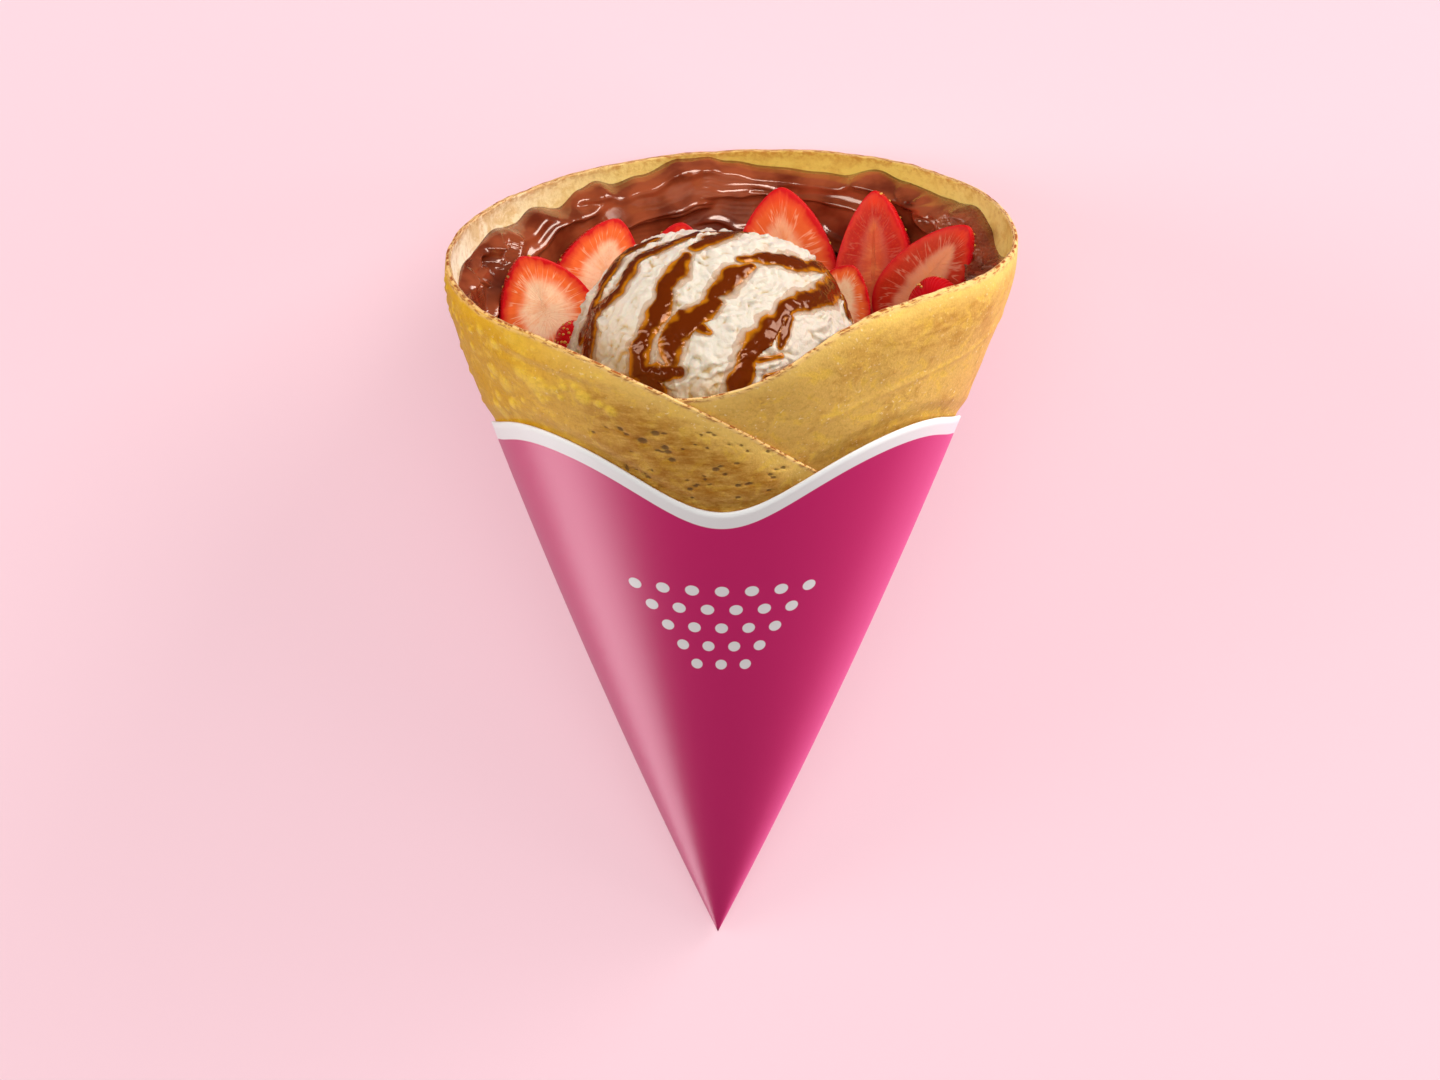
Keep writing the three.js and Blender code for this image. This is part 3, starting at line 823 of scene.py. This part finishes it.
    def section(self, angle):
        turn = math.radians(angle)
        edge = self.edge(angle) + 0.5 * noise.noise(Vector((9 * math.sin(turn), 9 * math.cos(turn), 1.5)))
        wall = wall_edge(angle)

        def skin(height):
            outside = roll_radius(angle, height) - crepe_inset(angle, height) - tuck(angle, height)
            return outside - thickness(wall - height)

        foot = FLOOR_HEIGHT + 1
        hidden = [(0, FLOOR_HEIGHT + 0.4), (skin(foot), foot), (skin(edge) + 0.5, edge - 1)]
        inside = []
        for height in steps(self.INSIDE_ROWS, edge, BED + 3):
            below = edge - height
            thick = (1 - math.exp(-below / 0.8)) * (3.4 + self.relief(angle, height)) - 0.25
            thick += 0.6 * hump(below, 1.8, 1.2)
            across = math.radians(angle - self.HOLE[0]) * self.HOLE_RADIUS
            hole = math.hypot(across, height - self.HOLE[1])
            thick -= 4.2 * hump(hole, 0, 1.3)
            inside.append((skin(height) - max(thick, -0.5), height))
        radius = inside[-1][0]
        floor = []
        for share in steps(self.FLOOR_ROWS, 1, 0)[1:-1]:
            spot = around(angle, share * radius, 0)
            swirl = 1 - abs(noise.noise(spot / 9 + Vector((7, 0, 1))))
            floor.append((share * radius, BED - 2 + 5 * share**6 + 1.6 * swirl**4 - 1))
        return [around(angle, r, h) for r, h in [*hidden, *inside, *floor, (0, BED - 2)]]

    def execute(self, context):
        look = context.scene.crepe_chocolate
        self.fold = look.fold / MM
        self.flake = look.flake / MM
        self.lay_strokes()
        bm = spun(self.COLUMNS, 3 + self.INSIDE_ROWS + self.FLOOR_ROWS)
        shape_rings(bm, self.section)
        mark(bm, "flaky", lambda point: self.flaky(cone_place(point)[0]))
        settle("chocolate", bm, LAID, self.spread(look), "chocolate", "chocolate_spread")
        return {"FINISHED"}

    def spread(self, look):
        finish = {"Coat Weight": 0.35, "Coat Roughness": 0.05, "Specular Tint": (1.0, 0.82, 0.70, 1.0)}
        finish["Specular IOR Level"] = 0.8
        paint = Paint("glossy_chocolate", finish)
        place = paint.place()
        cloud = paint.noise(place, 9 * MM, 3)
        grain = paint.noise(place, 0.9 * MM, 3, 0.6)
        flaky = paint.mark("flaky")
        colour = paint.mix(cloud.between(0.36, 0.70), look.milk, look.dark)
        colour = paint.mix(flaky * grain.between(0.5, 0.7) * 0.5, colour, self.CHIPPED)
        rough = 0.11 + 0.1 * cloud + 0.25 * flaky * grain
        height = grain * (0.04 + 0.5 * flaky)
        return paint.feed(base_color=colour, roughness=rough, normal=paint.bump(height, 0.6 * MM))


# ---- Ice cream and sauce ----
# Each strand of sauce on the dome: points (right, up, width) in millimetres from the scoop's middle, as seen
# from above.
SAUCE_STRANDS = [
    [(-2.6, 34.2, 2), (8, 34.6, 2)],
    [(-15, 31.4, 2.6), (-22.4, 27.3, 4), (-26.2, 21.7, 4.4), (-28.8, 17, 3.6), (-32, 9, 3.4)],
    [(-4.8, 34, 2.4), (-12.3, 30, 4), (-18.5, 27, 3.6), (-20.9, 22.2, 4.6), (-22.4, 19.6, 4.2),
     (-26.2, 16.6, 3.6), (-29.1, 14.2, 4.4), (-30, 10.7, 5.6), (-30.4, 5.4, 5), (-30.6, -2, 4.6)],
    [(3.8, 34, 2.8), (-1.8, 31.6, 4), (-4.8, 29.7, 3)],
    [(-7, 27.6, 2.4), (-9.4, 23.6, 4), (-12, 20, 2.6), (-12.3, 17, 4.4), (-14.2, 12.9, 5.2), (-16.3, 9.4, 4),
     (-17.9, 5.4, 4), (-17.9, 0.6, 4.4), (-14, -3.4, 5)],
    [(-17.9, 0.6, 3.4), (-12.6, 0.6, 3.6), (-8.6, 0.8, 2.6)],
    [(8, 26, 2.2), (3.8, 24.4, 4), (1.4, 21.2, 4.5), (-1, 18.8, 2.8), (-0.5, 17.4, 3), (-2.9, 15, 4.3),
     (-7, 12.1, 6.8), (-10.4, 9.4, 6.4), (-10.1, 5.4, 4.2), (-10.1, 3.4, 3.6)],
    [(-3.6, 11, 2.4), (-1.6, 10, 1)],
    [(5.7, 27.5, 1.8), (10.8, 27.9, 3.4), (14.5, 27, 4), (18.2, 26.5, 5), (20.9, 25.5, 3), (24.1, 25.5, 3),
     (26.3, 24.1, 3.6), (27.6, 21.7, 5.2), (25.8, 19.6, 5.6), (22.3, 18.2, 4.3), (18.8, 17.5, 4),
     (16, 16.4, 2.8), (14.5, 13.4, 3.4), (12.4, 10.7, 5.2), (10.2, 7.8, 6.2), (8, 5.1, 4.8),
     (6.2, 1.9, 4.5), (4.6, -1.9, 4), (4, -5, 4)],
    [(16.6, 13.4, 1.6), (15.4, 9.4, 1.8), (14.5, 6.7, 1.2)],
    [(9.4, 3.6, 1.4), (12.4, 4.2, 1), (14.8, 4.8, 0.9)],
    [(29.5, 19, 2.6), (31.1, 15.5, 2.2), (34, 12.9, 1.2)],
    [(22.3, 4.6, 1.1), (17.2, 1.4, 1.7), (11.3, -0.4, 1.2)],
]


def scoop_lump(direction):
    """The scoop's large lumps, as the solid has them, by a direction in the cone."""
    x, y, z = direction
    return 0.7 * math.sin(4 * x + 1.3) * math.sin(5 * y) + 0.5 * math.sin(7 * z + 4 * x + 0.6)


def laid_down(direction):
    """A direction in the standing cone, as it points when the cone lies."""
    return Matrix.Rotation(LEAN, 3, "X") @ direction


class CREPECONE_OT_scoop(bpy.types.Operator):
    """Puts in the scoop of vanilla ice cream, torn along its sides, and runs caramel sauce over it"""

    bl_idname = "crepecone.scoop"
    bl_label = "Ice cream and sauce"

    SUBDIVISIONS = 7
    SAUCE_ROOM = 0.12
    SAUCE_SHELL = 0.7

    def torn(self, direction, covered):
        """The height of the torn ledges, lumps and grain, which the sauce levels where it covers them."""
        lying = laid_down(direction) * SCOOP_RADIUS
        drift = noise.noise(lying / 9) + 0.6 * noise.noise(lying / 3.4)
        ledge = (lying.y - 0.45 * lying.x) / 4.0 + 1.6 * drift
        share = ledge % 1
        step = smooth(share, 0, 0.22) - share
        patch = smooth(noise.noise(lying / 6 + Vector((5, 1, 2))), -0.4, 0.25)
        coarse = math.exp(-(((lying.x + 3) / 9) ** 2) - ((lying.y + 3) / 7) ** 2)
        lumps = abs(noise.noise(lying / 3.4 + Vector((2, 7, 0)))) + 0.3 * abs(noise.noise(lying / 1.4))
        crumbs = noise.noise(lying / 0.8)
        relief = self.torn_height * (0.3 + 0.7 * patch + 0.6 * coarse) * (step + 1.5 * (lumps - 0.3))
        relief += self.grain * (0.6 + 0.6 * patch + 2 * coarse) * crumbs
        return relief * (1 - 0.8 * smooth(covered, -0.3, 0.4))

    def warm_shade_at(self, direction):
        """How much warm painted shade the ice cream gets: at the lower left and low in its front."""
        lying = laid_down(direction) * SCOOP_RADIUS
        left = smooth(-lying.x, 8, 22) * smooth(-lying.y, -14, 2)
        front = hump(lying.x, -4, 9) * smooth(-lying.y, -3, 6)
        return min(1.0, left + front)

    def execute(self, context):
        look = context.scene.crepe_ice_cream
        self.torn_height = look.torn / MM
        self.grain = look.grain / MM
        self.depth = look.sauce_depth / MM
        self.lay_strands()
        self.make_scoop(look)
        self.make_sauce(look)
        return {"FINISHED"}

    def make_scoop(self, look):
        bm = bmesh.new()
        bmesh.ops.create_icosphere(bm, subdivisions=self.SUBDIVISIONS, radius=1)
        shown = [edge for edge in bm.edges if all(self.faces_up(vert.co) for vert in edge.verts)]
        bmesh.ops.subdivide_edges(bm, edges=shown, cuts=1, use_grid_fill=True)
        hollow_shade, warm_shade = layers(bm, "hollow_shade", "warm_shade")
        for vert in bm.verts:
            direction = vert.co.normalized()
            relief = self.torn(direction, self.covered(direction)[0])
            # Painted shade where the relief dips into a hollow.
            vert[hollow_shade] = smooth(-relief, -0.15, 0.4)
            # Warm painted shade at the lower left and the front.
            vert[warm_shade] = self.warm_shade_at(direction)
            vert.co = SCOOP_PLACE + (SCOOP_RADIUS + scoop_lump(direction) + relief) * direction
        whole = bm.verts[:] + bm.edges[:] + bm.faces[:]
        base, down = (0, SCOOP_BASE, 0), (0, -1, 0)
        cut = bmesh.ops.bisect_plane(bm, geom=whole, plane_co=base, plane_no=down, clear_outer=True)
        rim = [item for item in cut["geom_cut"] if isinstance(item, bmesh.types.BMEdge)]
        bmesh.ops.triangle_fill(bm, use_beauty=True, edges=rim)
        settle("vanilla_scoop", bm, LAID, self.vanilla(look), "ice_cream", "ice_cream")

    def faces_up(self, direction):
        lying = laid_down(direction)
        return lying.z > 0.12 and lying.y > -0.32

    def lay_strands(self):
        self.lines = kdtree.KDTree(4000)
        self.widths = []
        for strand in SAUCE_STRANDS:
            for start, end in zip(strand, strand[1:]):
                count = max(2, math.ceil(math.dist(start[:2], end[:2]) / 0.25))
                for share in steps(count, 0, 1):
                    x, y, width = (a + (b - a) * share for a, b in zip(start, end))
                    up = math.sqrt(max(0.5, SCOOP_RADIUS**2 - x * x - y * y))
                    direction = Matrix.Rotation(-LEAN, 3, "X") @ Vector((x, y, up)).normalized()
                    self.lines.insert(direction * SCOOP_RADIUS, len(self.widths))
                    self.widths.append(0.76 * width + 0.25)
        self.lines.balance()

    def covered(self, direction):
        """How far inside the nearest strand a place is, as a share of its half width, and that half width."""
        spot = direction * SCOOP_RADIUS
        rough = 0.2 * noise.noise(spot / 1.7) + 0.35 * noise.noise(spot / 4.5)
        best = -9.0
        for _, index, away in self.lines.find_n(spot, 6):
            best = max(best, 1 + 0.9 * rough - away / self.widths[index])
        return best, self.widths[index]

    def make_sauce(self, look):
        bm = bmesh.new()
        bmesh.ops.create_icosphere(bm, subdivisions=self.SUBDIVISIONS, radius=1)
        bare = [vert for vert in bm.verts if self.covered(vert.co.normalized())[0] < -1.1]
        bmesh.ops.delete(bm, geom=bare, context="VERTS")
        bmesh.ops.subdivide_edges(bm, edges=bm.edges[:], cuts=1, use_grid_fill=True)
        bare = [vert for vert in bm.verts if self.covered(vert.co.normalized())[0] < -0.35]
        bmesh.ops.delete(bm, geom=bare, context="VERTS")
        (thickness,) = layers(bm, "thickness")
        for vert in bm.verts:
            direction = vert.co.normalized()
            share, half = self.covered(direction)
            full = self.depth * min(1.0, 0.4 + 0.28 * half)
            rise = full * smooth(share, 0, 1) ** 0.7 if share > 0 else 1.4 * share
            swell = 0.3 * noise.noise(direction * 6) * smooth(share, 0, 0.6)
            base = SCOOP_RADIUS + scoop_lump(direction) + self.torn(direction, share)
            radius = base + self.SAUCE_ROOM + rise + swell
            vert[thickness] = smooth(share, 0, 1.1) * min(1.0, 0.45 + 0.22 * half)
            vert.co = SCOOP_PLACE + radius * direction
        bmesh.ops.solidify(bm, geom=bm.faces[:], thickness=self.SAUCE_SHELL)
        settle("caramel_sauce", bm, LAID, self.caramel(look), "caramel_sauce", "ice_cream")

    def vanilla(self, look):
        finish = {"Subsurface Weight": 0.2, "Subsurface Scale": 1.2 * MM, "Specular IOR Level": 0.35}
        paint = Paint("vanilla", finish)
        place = paint.place()
        cloud = paint.noise(place, 7 * MM, 4)
        grain = paint.noise(place, 0.8 * MM, 4, 0.65)
        hollow_shade, warm_shade = paint.mark("hollow_shade"), paint.mark("warm_shade")
        # Painted shade in the relief's hollows, and warm painted shade at the lower left and the front; the
        # noise part is the cream's own uneven tone.
        deep = hollow_shade * 0.85 + (cloud * 0.7 + grain * 0.3).between(0.46, 0.66) * 0.3 + warm_shade * 0.6
        colour = paint.mix(deep.between(0.05, 1.15), look.cream, look.hollow_shade)
        rough = 0.42 + 0.2 * grain
        return paint.feed(base_color=colour, roughness=rough, normal=paint.bump(grain, 0.3 * MM))

    def caramel(self, look):
        paint = Paint("caramel", {"Roughness": 0.12, "Specular Tint": (1.0, 0.6, 0.42, 1.0)})
        thickness = paint.mark("thickness")
        place = paint.place()
        streak = paint.noise(place, 2.5 * MM, 2)
        pool = paint.noise(place, 7 * MM, 2)
        deep = (thickness + 0.7 * (streak - 0.5) + 1.2 * (pool - 0.5)).between(0.03, 0.62)
        colour = paint.mix(deep, look.amber, look.sauce)
        cover = 0.25 + 0.75 * thickness.between(0.02, 0.3)
        normal = paint.bump(streak, 0.1 * MM)
        return paint.feed(base_color=colour, alpha=cover, normal=normal)


# ---- Strawberries ----
# name: [width, length, depth, notch], middle of the cut face in the lying cone, heading, tilt about X and Y,
# ripeness of the flesh, how far the core is drawn out.
BERRIES = {
    "left_half": ((25, 28, 8, 3), (-43.2, 151, 44), 24, (10, 22), 0.12, 0.15),
    "back_left_half": ((24, 30, 9, 1), (-30, 158.8, 25), -18, (2, 22), 0.3, 0.4),
    "behind_scoop_tip": ((25, 31, 9, 1), (-12.2, 157.2, 14.6), -6, (2, 8), 0.75, 0.3),
    "back_right_half": ((27, 36, 10, 2), (14, 163.4, 16.5), 3, (2, -10), 0.5, 0.3),
    "right_half": ((21.5, 36, 9, 1), (35.6, 162.6, 27), 0, (2, -26), 1.0, 0.5),
    "right_leaning_half": ((21, 35, 8, 1), (47.8, 158.6, 43.4), -40, (4, -30), 0.7, 0.5),
    "scoop_side_slice": ((19, 22, 5, 0), (26.4, 152.2, 42), -22, (10, -14), 0.1, 0.4),
    "left_skin_piece": ((9, 16, 6, 0), (-36.6, 140.4, 46.5), 8, (176, -14), 1.0, 0.4),
    "right_skin_piece": ((14, 18, 6, 0), (51.6, 151.6, 54), -60, (172, 30), 1.0, 0.4),
}


class CREPECONE_OT_strawberries(bpy.types.Operator):
    """Lays in the strawberry halves and slices, with their rays, skin and seeds"""

    bl_idname = "crepecone.strawberries"
    bl_label = "Strawberries"

    COLUMNS = 144
    FACE_ROWS = 30
    SKIN_ROWS = 24
    TAPER = 0.35
    SEED_PITCH = {"left_skin_piece": 3.2, "right_skin_piece": 13}
    USUAL_SEED_PITCH = 6.5
    # Tones of the flesh, from the middle of a face to its rim, and of the seeds' darker side.
    SALMON = (0.84, 0.32, 0.16)
    DEEP_MIDDLE = (0.62, 0.09, 0.035)
    MOTTLED = (0.86, 0.30, 0.09)
    TIP = (0.80, 0.035, 0.006)
    UNDER_SKIN = (0.66, 0.03, 0.014)
    DARK_SEED = (0.45, 0.16, 0.03)

    def outline(self, size, turn, scale, draw=0.0):
        """A point of the cut face: scale goes from the drawn-out core to the rim."""
        width, full_length, _, notch = size
        dent = notch * hump(abs(turn), math.pi, 0.4)
        point_in = 1 - 0.2 * hump(turn, 0, 0.55)
        x = width * math.sin(turn) * point_in * (1 - self.TAPER * math.cos(turn)) / 2.1
        y = full_length * math.cos(turn) / 2 + dent
        core = draw * 0.5 * full_length * math.cos(turn)
        return Vector((scale * x, core + scale * (y - core), 0))

    def skin_point(self, size, turn, down):
        """A point of the skin: down goes from the rim to the bottom."""
        scale = math.cos(down * math.pi / 2) ** 0.8 if down < 1 else 0.0
        point = self.outline(size, turn, scale)
        point.z = -size[2] * (0.05 + 0.95 * math.sin(down * math.pi / 2))
        return point

    def seeds_on(self, size, pitch, rng):
        """Places of the seeds on the skin, in staggered rows."""
        seeds = []
        girth = 1.6 * (size[0] + size[1]) / 2
        for row, down in enumerate((0.03, 0.24, 0.4, 0.55, 0.7, 0.85)):
            count = max(4, round(math.pi * girth * math.cos(down * math.pi / 2) ** 0.8 / pitch))
            for column in range(count):
                turn = math.tau * (column + 0.5 * (row % 2) + rng.uniform(-0.2, 0.2)) / count
                if row or rng.random() < 0.15:
                    seeds.append(((turn + math.pi) % math.tau - math.pi, down + rng.uniform(-0.02, 0.02)))
        return seeds

    def execute(self, context):
        look = context.scene.crepe_strawberry
        flesh = self.flesh(look)
        every_seed = bmesh.new()
        for index, (name, (size, at, heading, tilt, ripe, draw)) in enumerate(BERRIES.items()):
            rng = random.Random(70 + index)
            place = LYING @ Matrix.Translation(at)
            for degrees, axis in ((tilt[0], "X"), (tilt[1], "Y"), (heading, "Z")):
                place = place @ Matrix.Rotation(math.radians(degrees), 4, axis)
            seeds = self.seeds_on(size, self.SEED_PITCH.get(name, self.USUAL_SEED_PITCH), rng)
            bm = self.berry(size, draw, ripe, seeds, index, look)
            settle("cut_strawberry_" + name, bm, place, flesh, "strawberry", "strawberry_" + name)
            self.add_seeds(every_seed, size, seeds, place, rng)
        settle("strawberry_seeds", every_seed, Matrix(), self.seed_coat(look), "strawberry")
        return {"FINISHED"}

    def berry(self, size, draw, ripe, seeds, index, look):
        rows = self.FACE_ROWS + self.SKIN_ROWS + 1
        bm = spun(self.COLUMNS, rows)
        reach, ripeness, skin, tip = layers(bm, "reach", "ripeness", "skin", "tip")
        grain = bm.verts.layers.float_vector.new("rays")
        hollows = kdtree.KDTree(len(seeds))
        for number, seed in enumerate(seeds):
            hollows.insert(self.skin_point(size, *seed), number)
        hollows.balance()
        frequency = look.rays / math.tau
        for vert in bm.verts:
            turn = math.atan2(vert.co.x, vert.co.z)
            row = round(vert.co.y)
            vert[ripeness] = ripe
            pointed = hump(turn, 0, 0.45) * smooth(row / self.FACE_ROWS, 0.45, 0.8)
            vert[tip] = smooth(ripe, 0.2, 0.7) * pointed
            if row <= self.FACE_ROWS:
                scale = (row / self.FACE_ROWS) ** 0.85
                wobble = 1 + 0.025 * noise.noise(Vector((2 * math.sin(turn), 2 * math.cos(turn), index)))
                point = self.outline(size, turn, 0.985 * scale * wobble, draw * (1 - 0.3 * scale))
                point.z = 0.25 * (1 - scale**6) + 0.22 * noise.noise(point / 5 + Vector((0, 0, index)))
                point.z -= 0.12 * abs(math.sin(turn * look.rays / 2)) * scale * (1 - scale)
                vert[reach] = scale
            else:
                down = ((row - self.FACE_ROWS - 1) / self.SKIN_ROWS) ** 1.15
                point = self.skin_point(size, turn, min(1.0, down))
                near = hollows.find(point)[2]
                point *= 1 - 0.035 * hump(near, 0, 0.9)
                vert[reach] = 1.0
                vert[skin] = 1.0
            radial = vert[reach] * 0.8 + 2 * index
            vert[grain] = (frequency * math.sin(turn), frequency * math.cos(turn), radial)
            vert.co = point
        return bm

    def add_seeds(self, every_seed, size, seeds, place, rng):
        bm = bmesh.new()
        for turn, down in seeds:
            point = self.skin_point(size, turn, down)
            out = (point - self.skin_point(size, turn, 1.0) * 0.6).normalized()
            facing = out.to_track_quat("Z", "Y").to_matrix().to_4x4()
            long = rng.uniform(0.55, 0.7)
            form = Matrix.Diagonal((0.55 * long, long, 0.34, 1))
            sunk = Matrix.Translation(point - 0.26 * out)
            bmesh.ops.create_icosphere(bm, subdivisions=2, radius=1, matrix=place @ sunk @ facing @ form)
        mesh = mesh_of("seeds", bm)
        every_seed.from_mesh(mesh)
        bpy.data.meshes.remove(mesh)

    def flesh(self, look):
        finish = {"Subsurface Weight": 0.12, "Subsurface Scale": 1.2 * MM, "Specular IOR Level": 0.2}
        paint = Paint("strawberry_flesh", finish | {"Specular Tint": (1.0, 0.5, 0.35, 1.0)})
        reach = paint.mark("reach")
        ripe = paint.mark("ripeness")
        skin = paint.mark("skin").between(0.2, 0.8)
        rays = paint.noise(paint.mark("rays", "Vector"), 1.0, 2, 0.55)
        fibre = paint.noise(paint.mark("rays", "Vector"), 0.4, 2, 0.55)
        place = paint.place()
        soft = paint.noise(place, 4 * MM, 3)
        cells = paint.cells(place, 0.7 * MM)
        edge = reach + 0.22 * (rays - 0.5) + 0.22 * (soft - 0.5)
        middle = paint.mix(ripe.between(0.15, 0.5), look.core, self.SALMON)
        middle = paint.mix(ripe.between(0.65, 0.95), middle, self.DEEP_MIDDLE)
        mottled = (0.6 * soft + 0.4 * fibre).between(0.44, 0.64) * 0.45
        middle = paint.mix(mottled, middle, self.MOTTLED)
        ring = paint.mix(ripe.between(0.35, 0.8), look.flesh, look.ripe)
        colour = paint.mix((edge + 0.28 * ripe).between(0.36, 0.72), middle, ring)
        halo = 1 - (edge - 0.34).size().between(0.0, 0.20)
        ray = (0.5 - (rays - 0.5).size()).between(0.465, 0.5) * reach.between(0.15, 0.4)
        ray = ray * (1 - reach.between(0.72, 0.92))
        halo = halo * ripe.between(0.05, 0.35) * 0.45
        lighter = paint.maths("MAXIMUM", halo, ray * 0.6) * (1 - 0.85 * ripe)
        colour = paint.mix(lighter, colour, look.core)
        colour = paint.mix((0.5 - cells).between(0.0, 0.4) * 0.16, colour, look.flesh)
        tip = paint.mark("tip") * (1 - edge.between(0.9, 1.0))
        colour = paint.mix(tip * 0.85, colour, self.TIP)
        colour = paint.mix(edge.between(0.74, 0.90) * 0.7, colour, self.UNDER_SKIN)
        colour = paint.mix(edge.between(0.88, 0.98), colour, look.skin)
        colour = paint.mix(skin, colour, look.skin)
        rough = 0.34 - 0.12 * skin + 0.1 * fibre
        height = fibre * 0.22 * (1 - skin) + soft * 0.3
        return paint.feed(base_color=colour, roughness=rough, normal=paint.bump(height, 0.5 * MM))

    def seed_coat(self, look):
        paint = Paint("strawberry_seed", {"Roughness": 0.35, "Coat Weight": 0.3})
        shade = paint.noise(paint.place(), 1.2 * MM, 2)
        return paint.feed(base_color=paint.mix(shade.between(0.4, 0.7), look.seed, self.DARK_SEED))


# ---- Stage ----
class CREPECONE_OT_stage(bpy.types.Operator):
    """Sets the pale floor, the soft lights and the camera above the lying cone"""

    bl_idname = "crepecone.stage"
    bl_label = "Stage"

    CAMERA_PLACE = Vector((-0.0006, 0.0153, 2.0335))
    CAMERA_LEAN = math.radians(0.975)
    CAMERA_ROLL = math.radians(0.66)
    CAMERA_LENS = 208.3
    # name: place, size, watts, colour, and whether it lights matt surfaces, shows in glossy ones, or both.
    # The low ones shine through the floor, as in a light table, and put the soft streaks on the sleeve's
    # sides. Reflections pass the floor by, so it lays no haze on the chocolate and the sauce.
    LIGHTS = {
        "left_softbox": ((-1.05, 0.12, 0.53), (0.5, 0.8), 8.5, (1.0, 0.97, 0.93), "both"),
        "right_softbox": ((1.05, -0.1, 0.43), (0.5, 0.7), 5.6, (1.0, 0.97, 0.95), "both"),
        "rear_right_softbox": ((0.95, 0.9, 0.5), (0.8, 0.8), 18, (1.0, 0.98, 0.96), "both"),
        "overhead_softbox": ((0.0, 0.45, 2.4), (1.8, 1.8), 33, (1.0, 0.97, 0.95), "matt"),
        "rear_strip": ((-0.1, 1.1, 1.9), (1.2, 0.4), 20, (1.0, 0.94, 0.92), "glossy"),
        "front_strip": ((0.1, -1.2, 1.7), (1.3, 0.5), 12, (1.0, 0.94, 0.92), "glossy"),
        "low_streak": ((-0.76, -0.79, -0.45), (0.6, 0.6), 4.8, (1.0, 0.97, 1.0), "glossy"),
        "low_left_panel": ((-0.50, -0.35, -0.95), (0.8, 0.8), 1.1, (1.0, 0.85, 0.92), "glossy"),
        "low_right_panel": ((0.51, -0.33, -0.92), (1.1, 1.1), 6.6, (1.0, 0.24, 0.52), "glossy"),
    }
    AIM = Vector((0, 0.01, 0.06))
    FLOOR_GLOW = 0.52
    FLOOR_SHARES = (0.52, 0.51)
    ROOM_TINT = (1.0, 0.92, 0.93, 1.0)
    ROOM_LIGHT = 0.05

    def execute(self, context):
        look = context.scene.crepe_stage
        scene = context.scene
        bm = bmesh.new()
        bmesh.ops.create_grid(bm, x_segments=1, y_segments=1, size=5)
        floor = put("floor", mesh_of("floor", bm))
        glow = {"Emission Color": (*look.floor, 1.0), "Emission Strength": self.FLOOR_GLOW}
        paint = Paint("pale_floor", {"Roughness": 0.9, "Specular IOR Level": 0.1} | glow)
        cloud = paint.noise(paint.place(), 0.8, 1)
        lit, dimmed = ([share * c for c in look.floor] for share in self.FLOOR_SHARES)
        floor.data.materials.append(paint.feed(base_color=paint.mix(cloud, lit, dimmed)))
        floor.visible_shadow = False
        floor.visible_glossy = False
        floor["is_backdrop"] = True

        for name, (place, (wide, high), watts, tint, shows) in self.LIGHTS.items():
            light = bpy.data.lights.new(name, "AREA")
            light.shape = "RECTANGLE"
            light.size, light.size_y = wide, high
            light.energy = watts * look.light
            light.color = tint
            lamp = put(name, light)
            lamp.location = place
            lamp.rotation_euler = (self.AIM - lamp.location).to_track_quat("-Z", "Y").to_euler()
            lamp.visible_diffuse = shows != "glossy"
            lamp.visible_glossy = shows != "matt"

        world = bpy.data.worlds.new("soft_room")
        world.use_nodes = True
        background = world.node_tree.nodes["Background"]
        background.inputs["Color"].default_value = self.ROOM_TINT
        background.inputs["Strength"].default_value = self.ROOM_LIGHT * look.light
        scene.world = world

        camera = bpy.data.cameras.new("camera")
        camera.lens = self.CAMERA_LENS
        camera.clip_end = 20
        holder = put("camera", camera)
        back = Vector((0, math.sin(self.CAMERA_LEAN), math.cos(self.CAMERA_LEAN)))
        level_up = Vector((0, math.cos(self.CAMERA_LEAN), -math.sin(self.CAMERA_LEAN)))
        right = math.cos(self.CAMERA_ROLL) * Vector((1, 0, 0)) + math.sin(self.CAMERA_ROLL) * level_up
        up = back.cross(right)
        turn = Matrix((right, up, back)).transposed().to_4x4()
        holder.matrix_world = Matrix.Translation(self.CAMERA_PLACE) @ turn
        scene.camera = holder
        scene.view_settings.view_transform = "Standard"
        return {"FINISHED"}


class CREPECONE_PT_panel(bpy.types.Panel):
    """Lists the cone's operators in the sidebar"""

    bl_label = "Crepe Cone"
    bl_idname = "CREPECONE_PT_panel"
    bl_space_type = "VIEW_3D"
    bl_region_type = "UI"
    bl_category = "Crepe Cone"

    def draw(self, context):
        for operator in OPERATORS:
            self.layout.operator(operator.bl_idname)


LOOKS = {
    "crepe_paper": PaperLook,
    "crepe_batter": CrepeLook,
    "crepe_chocolate": ChocolateLook,
    "crepe_ice_cream": IceCreamLook,
    "crepe_strawberry": StrawberryLook,
    "crepe_stage": StageLook,
}
OPERATORS = [
    CREPECONE_OT_stage,
    CREPECONE_OT_sleeve,
    CREPECONE_OT_crepe,
    CREPECONE_OT_chocolate,
    CREPECONE_OT_scoop,
    CREPECONE_OT_strawberries,
]


def register():
    for cls in [*LOOKS.values(), *OPERATORS, CREPECONE_PT_panel]:
        bpy.utils.register_class(cls)
    for name, group in LOOKS.items():
        setattr(bpy.types.Scene, name, PointerProperty(type=group))


def unregister():
    for name in LOOKS:
        delattr(bpy.types.Scene, name)
    for cls in reversed([*LOOKS.values(), *OPERATORS, CREPECONE_PT_panel]):
        bpy.utils.unregister_class(cls)


def main():
    register()
    for operator in OPERATORS:
        getattr(bpy.ops.crepecone, operator.bl_idname.split(".")[1])()
    boxes = {"cad": CAD_BOX, "visual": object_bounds()}
    sizes = {name: [list(corner) for corner in box] for name, box in boxes.items()}


if __name__ == "__main__":
    main()
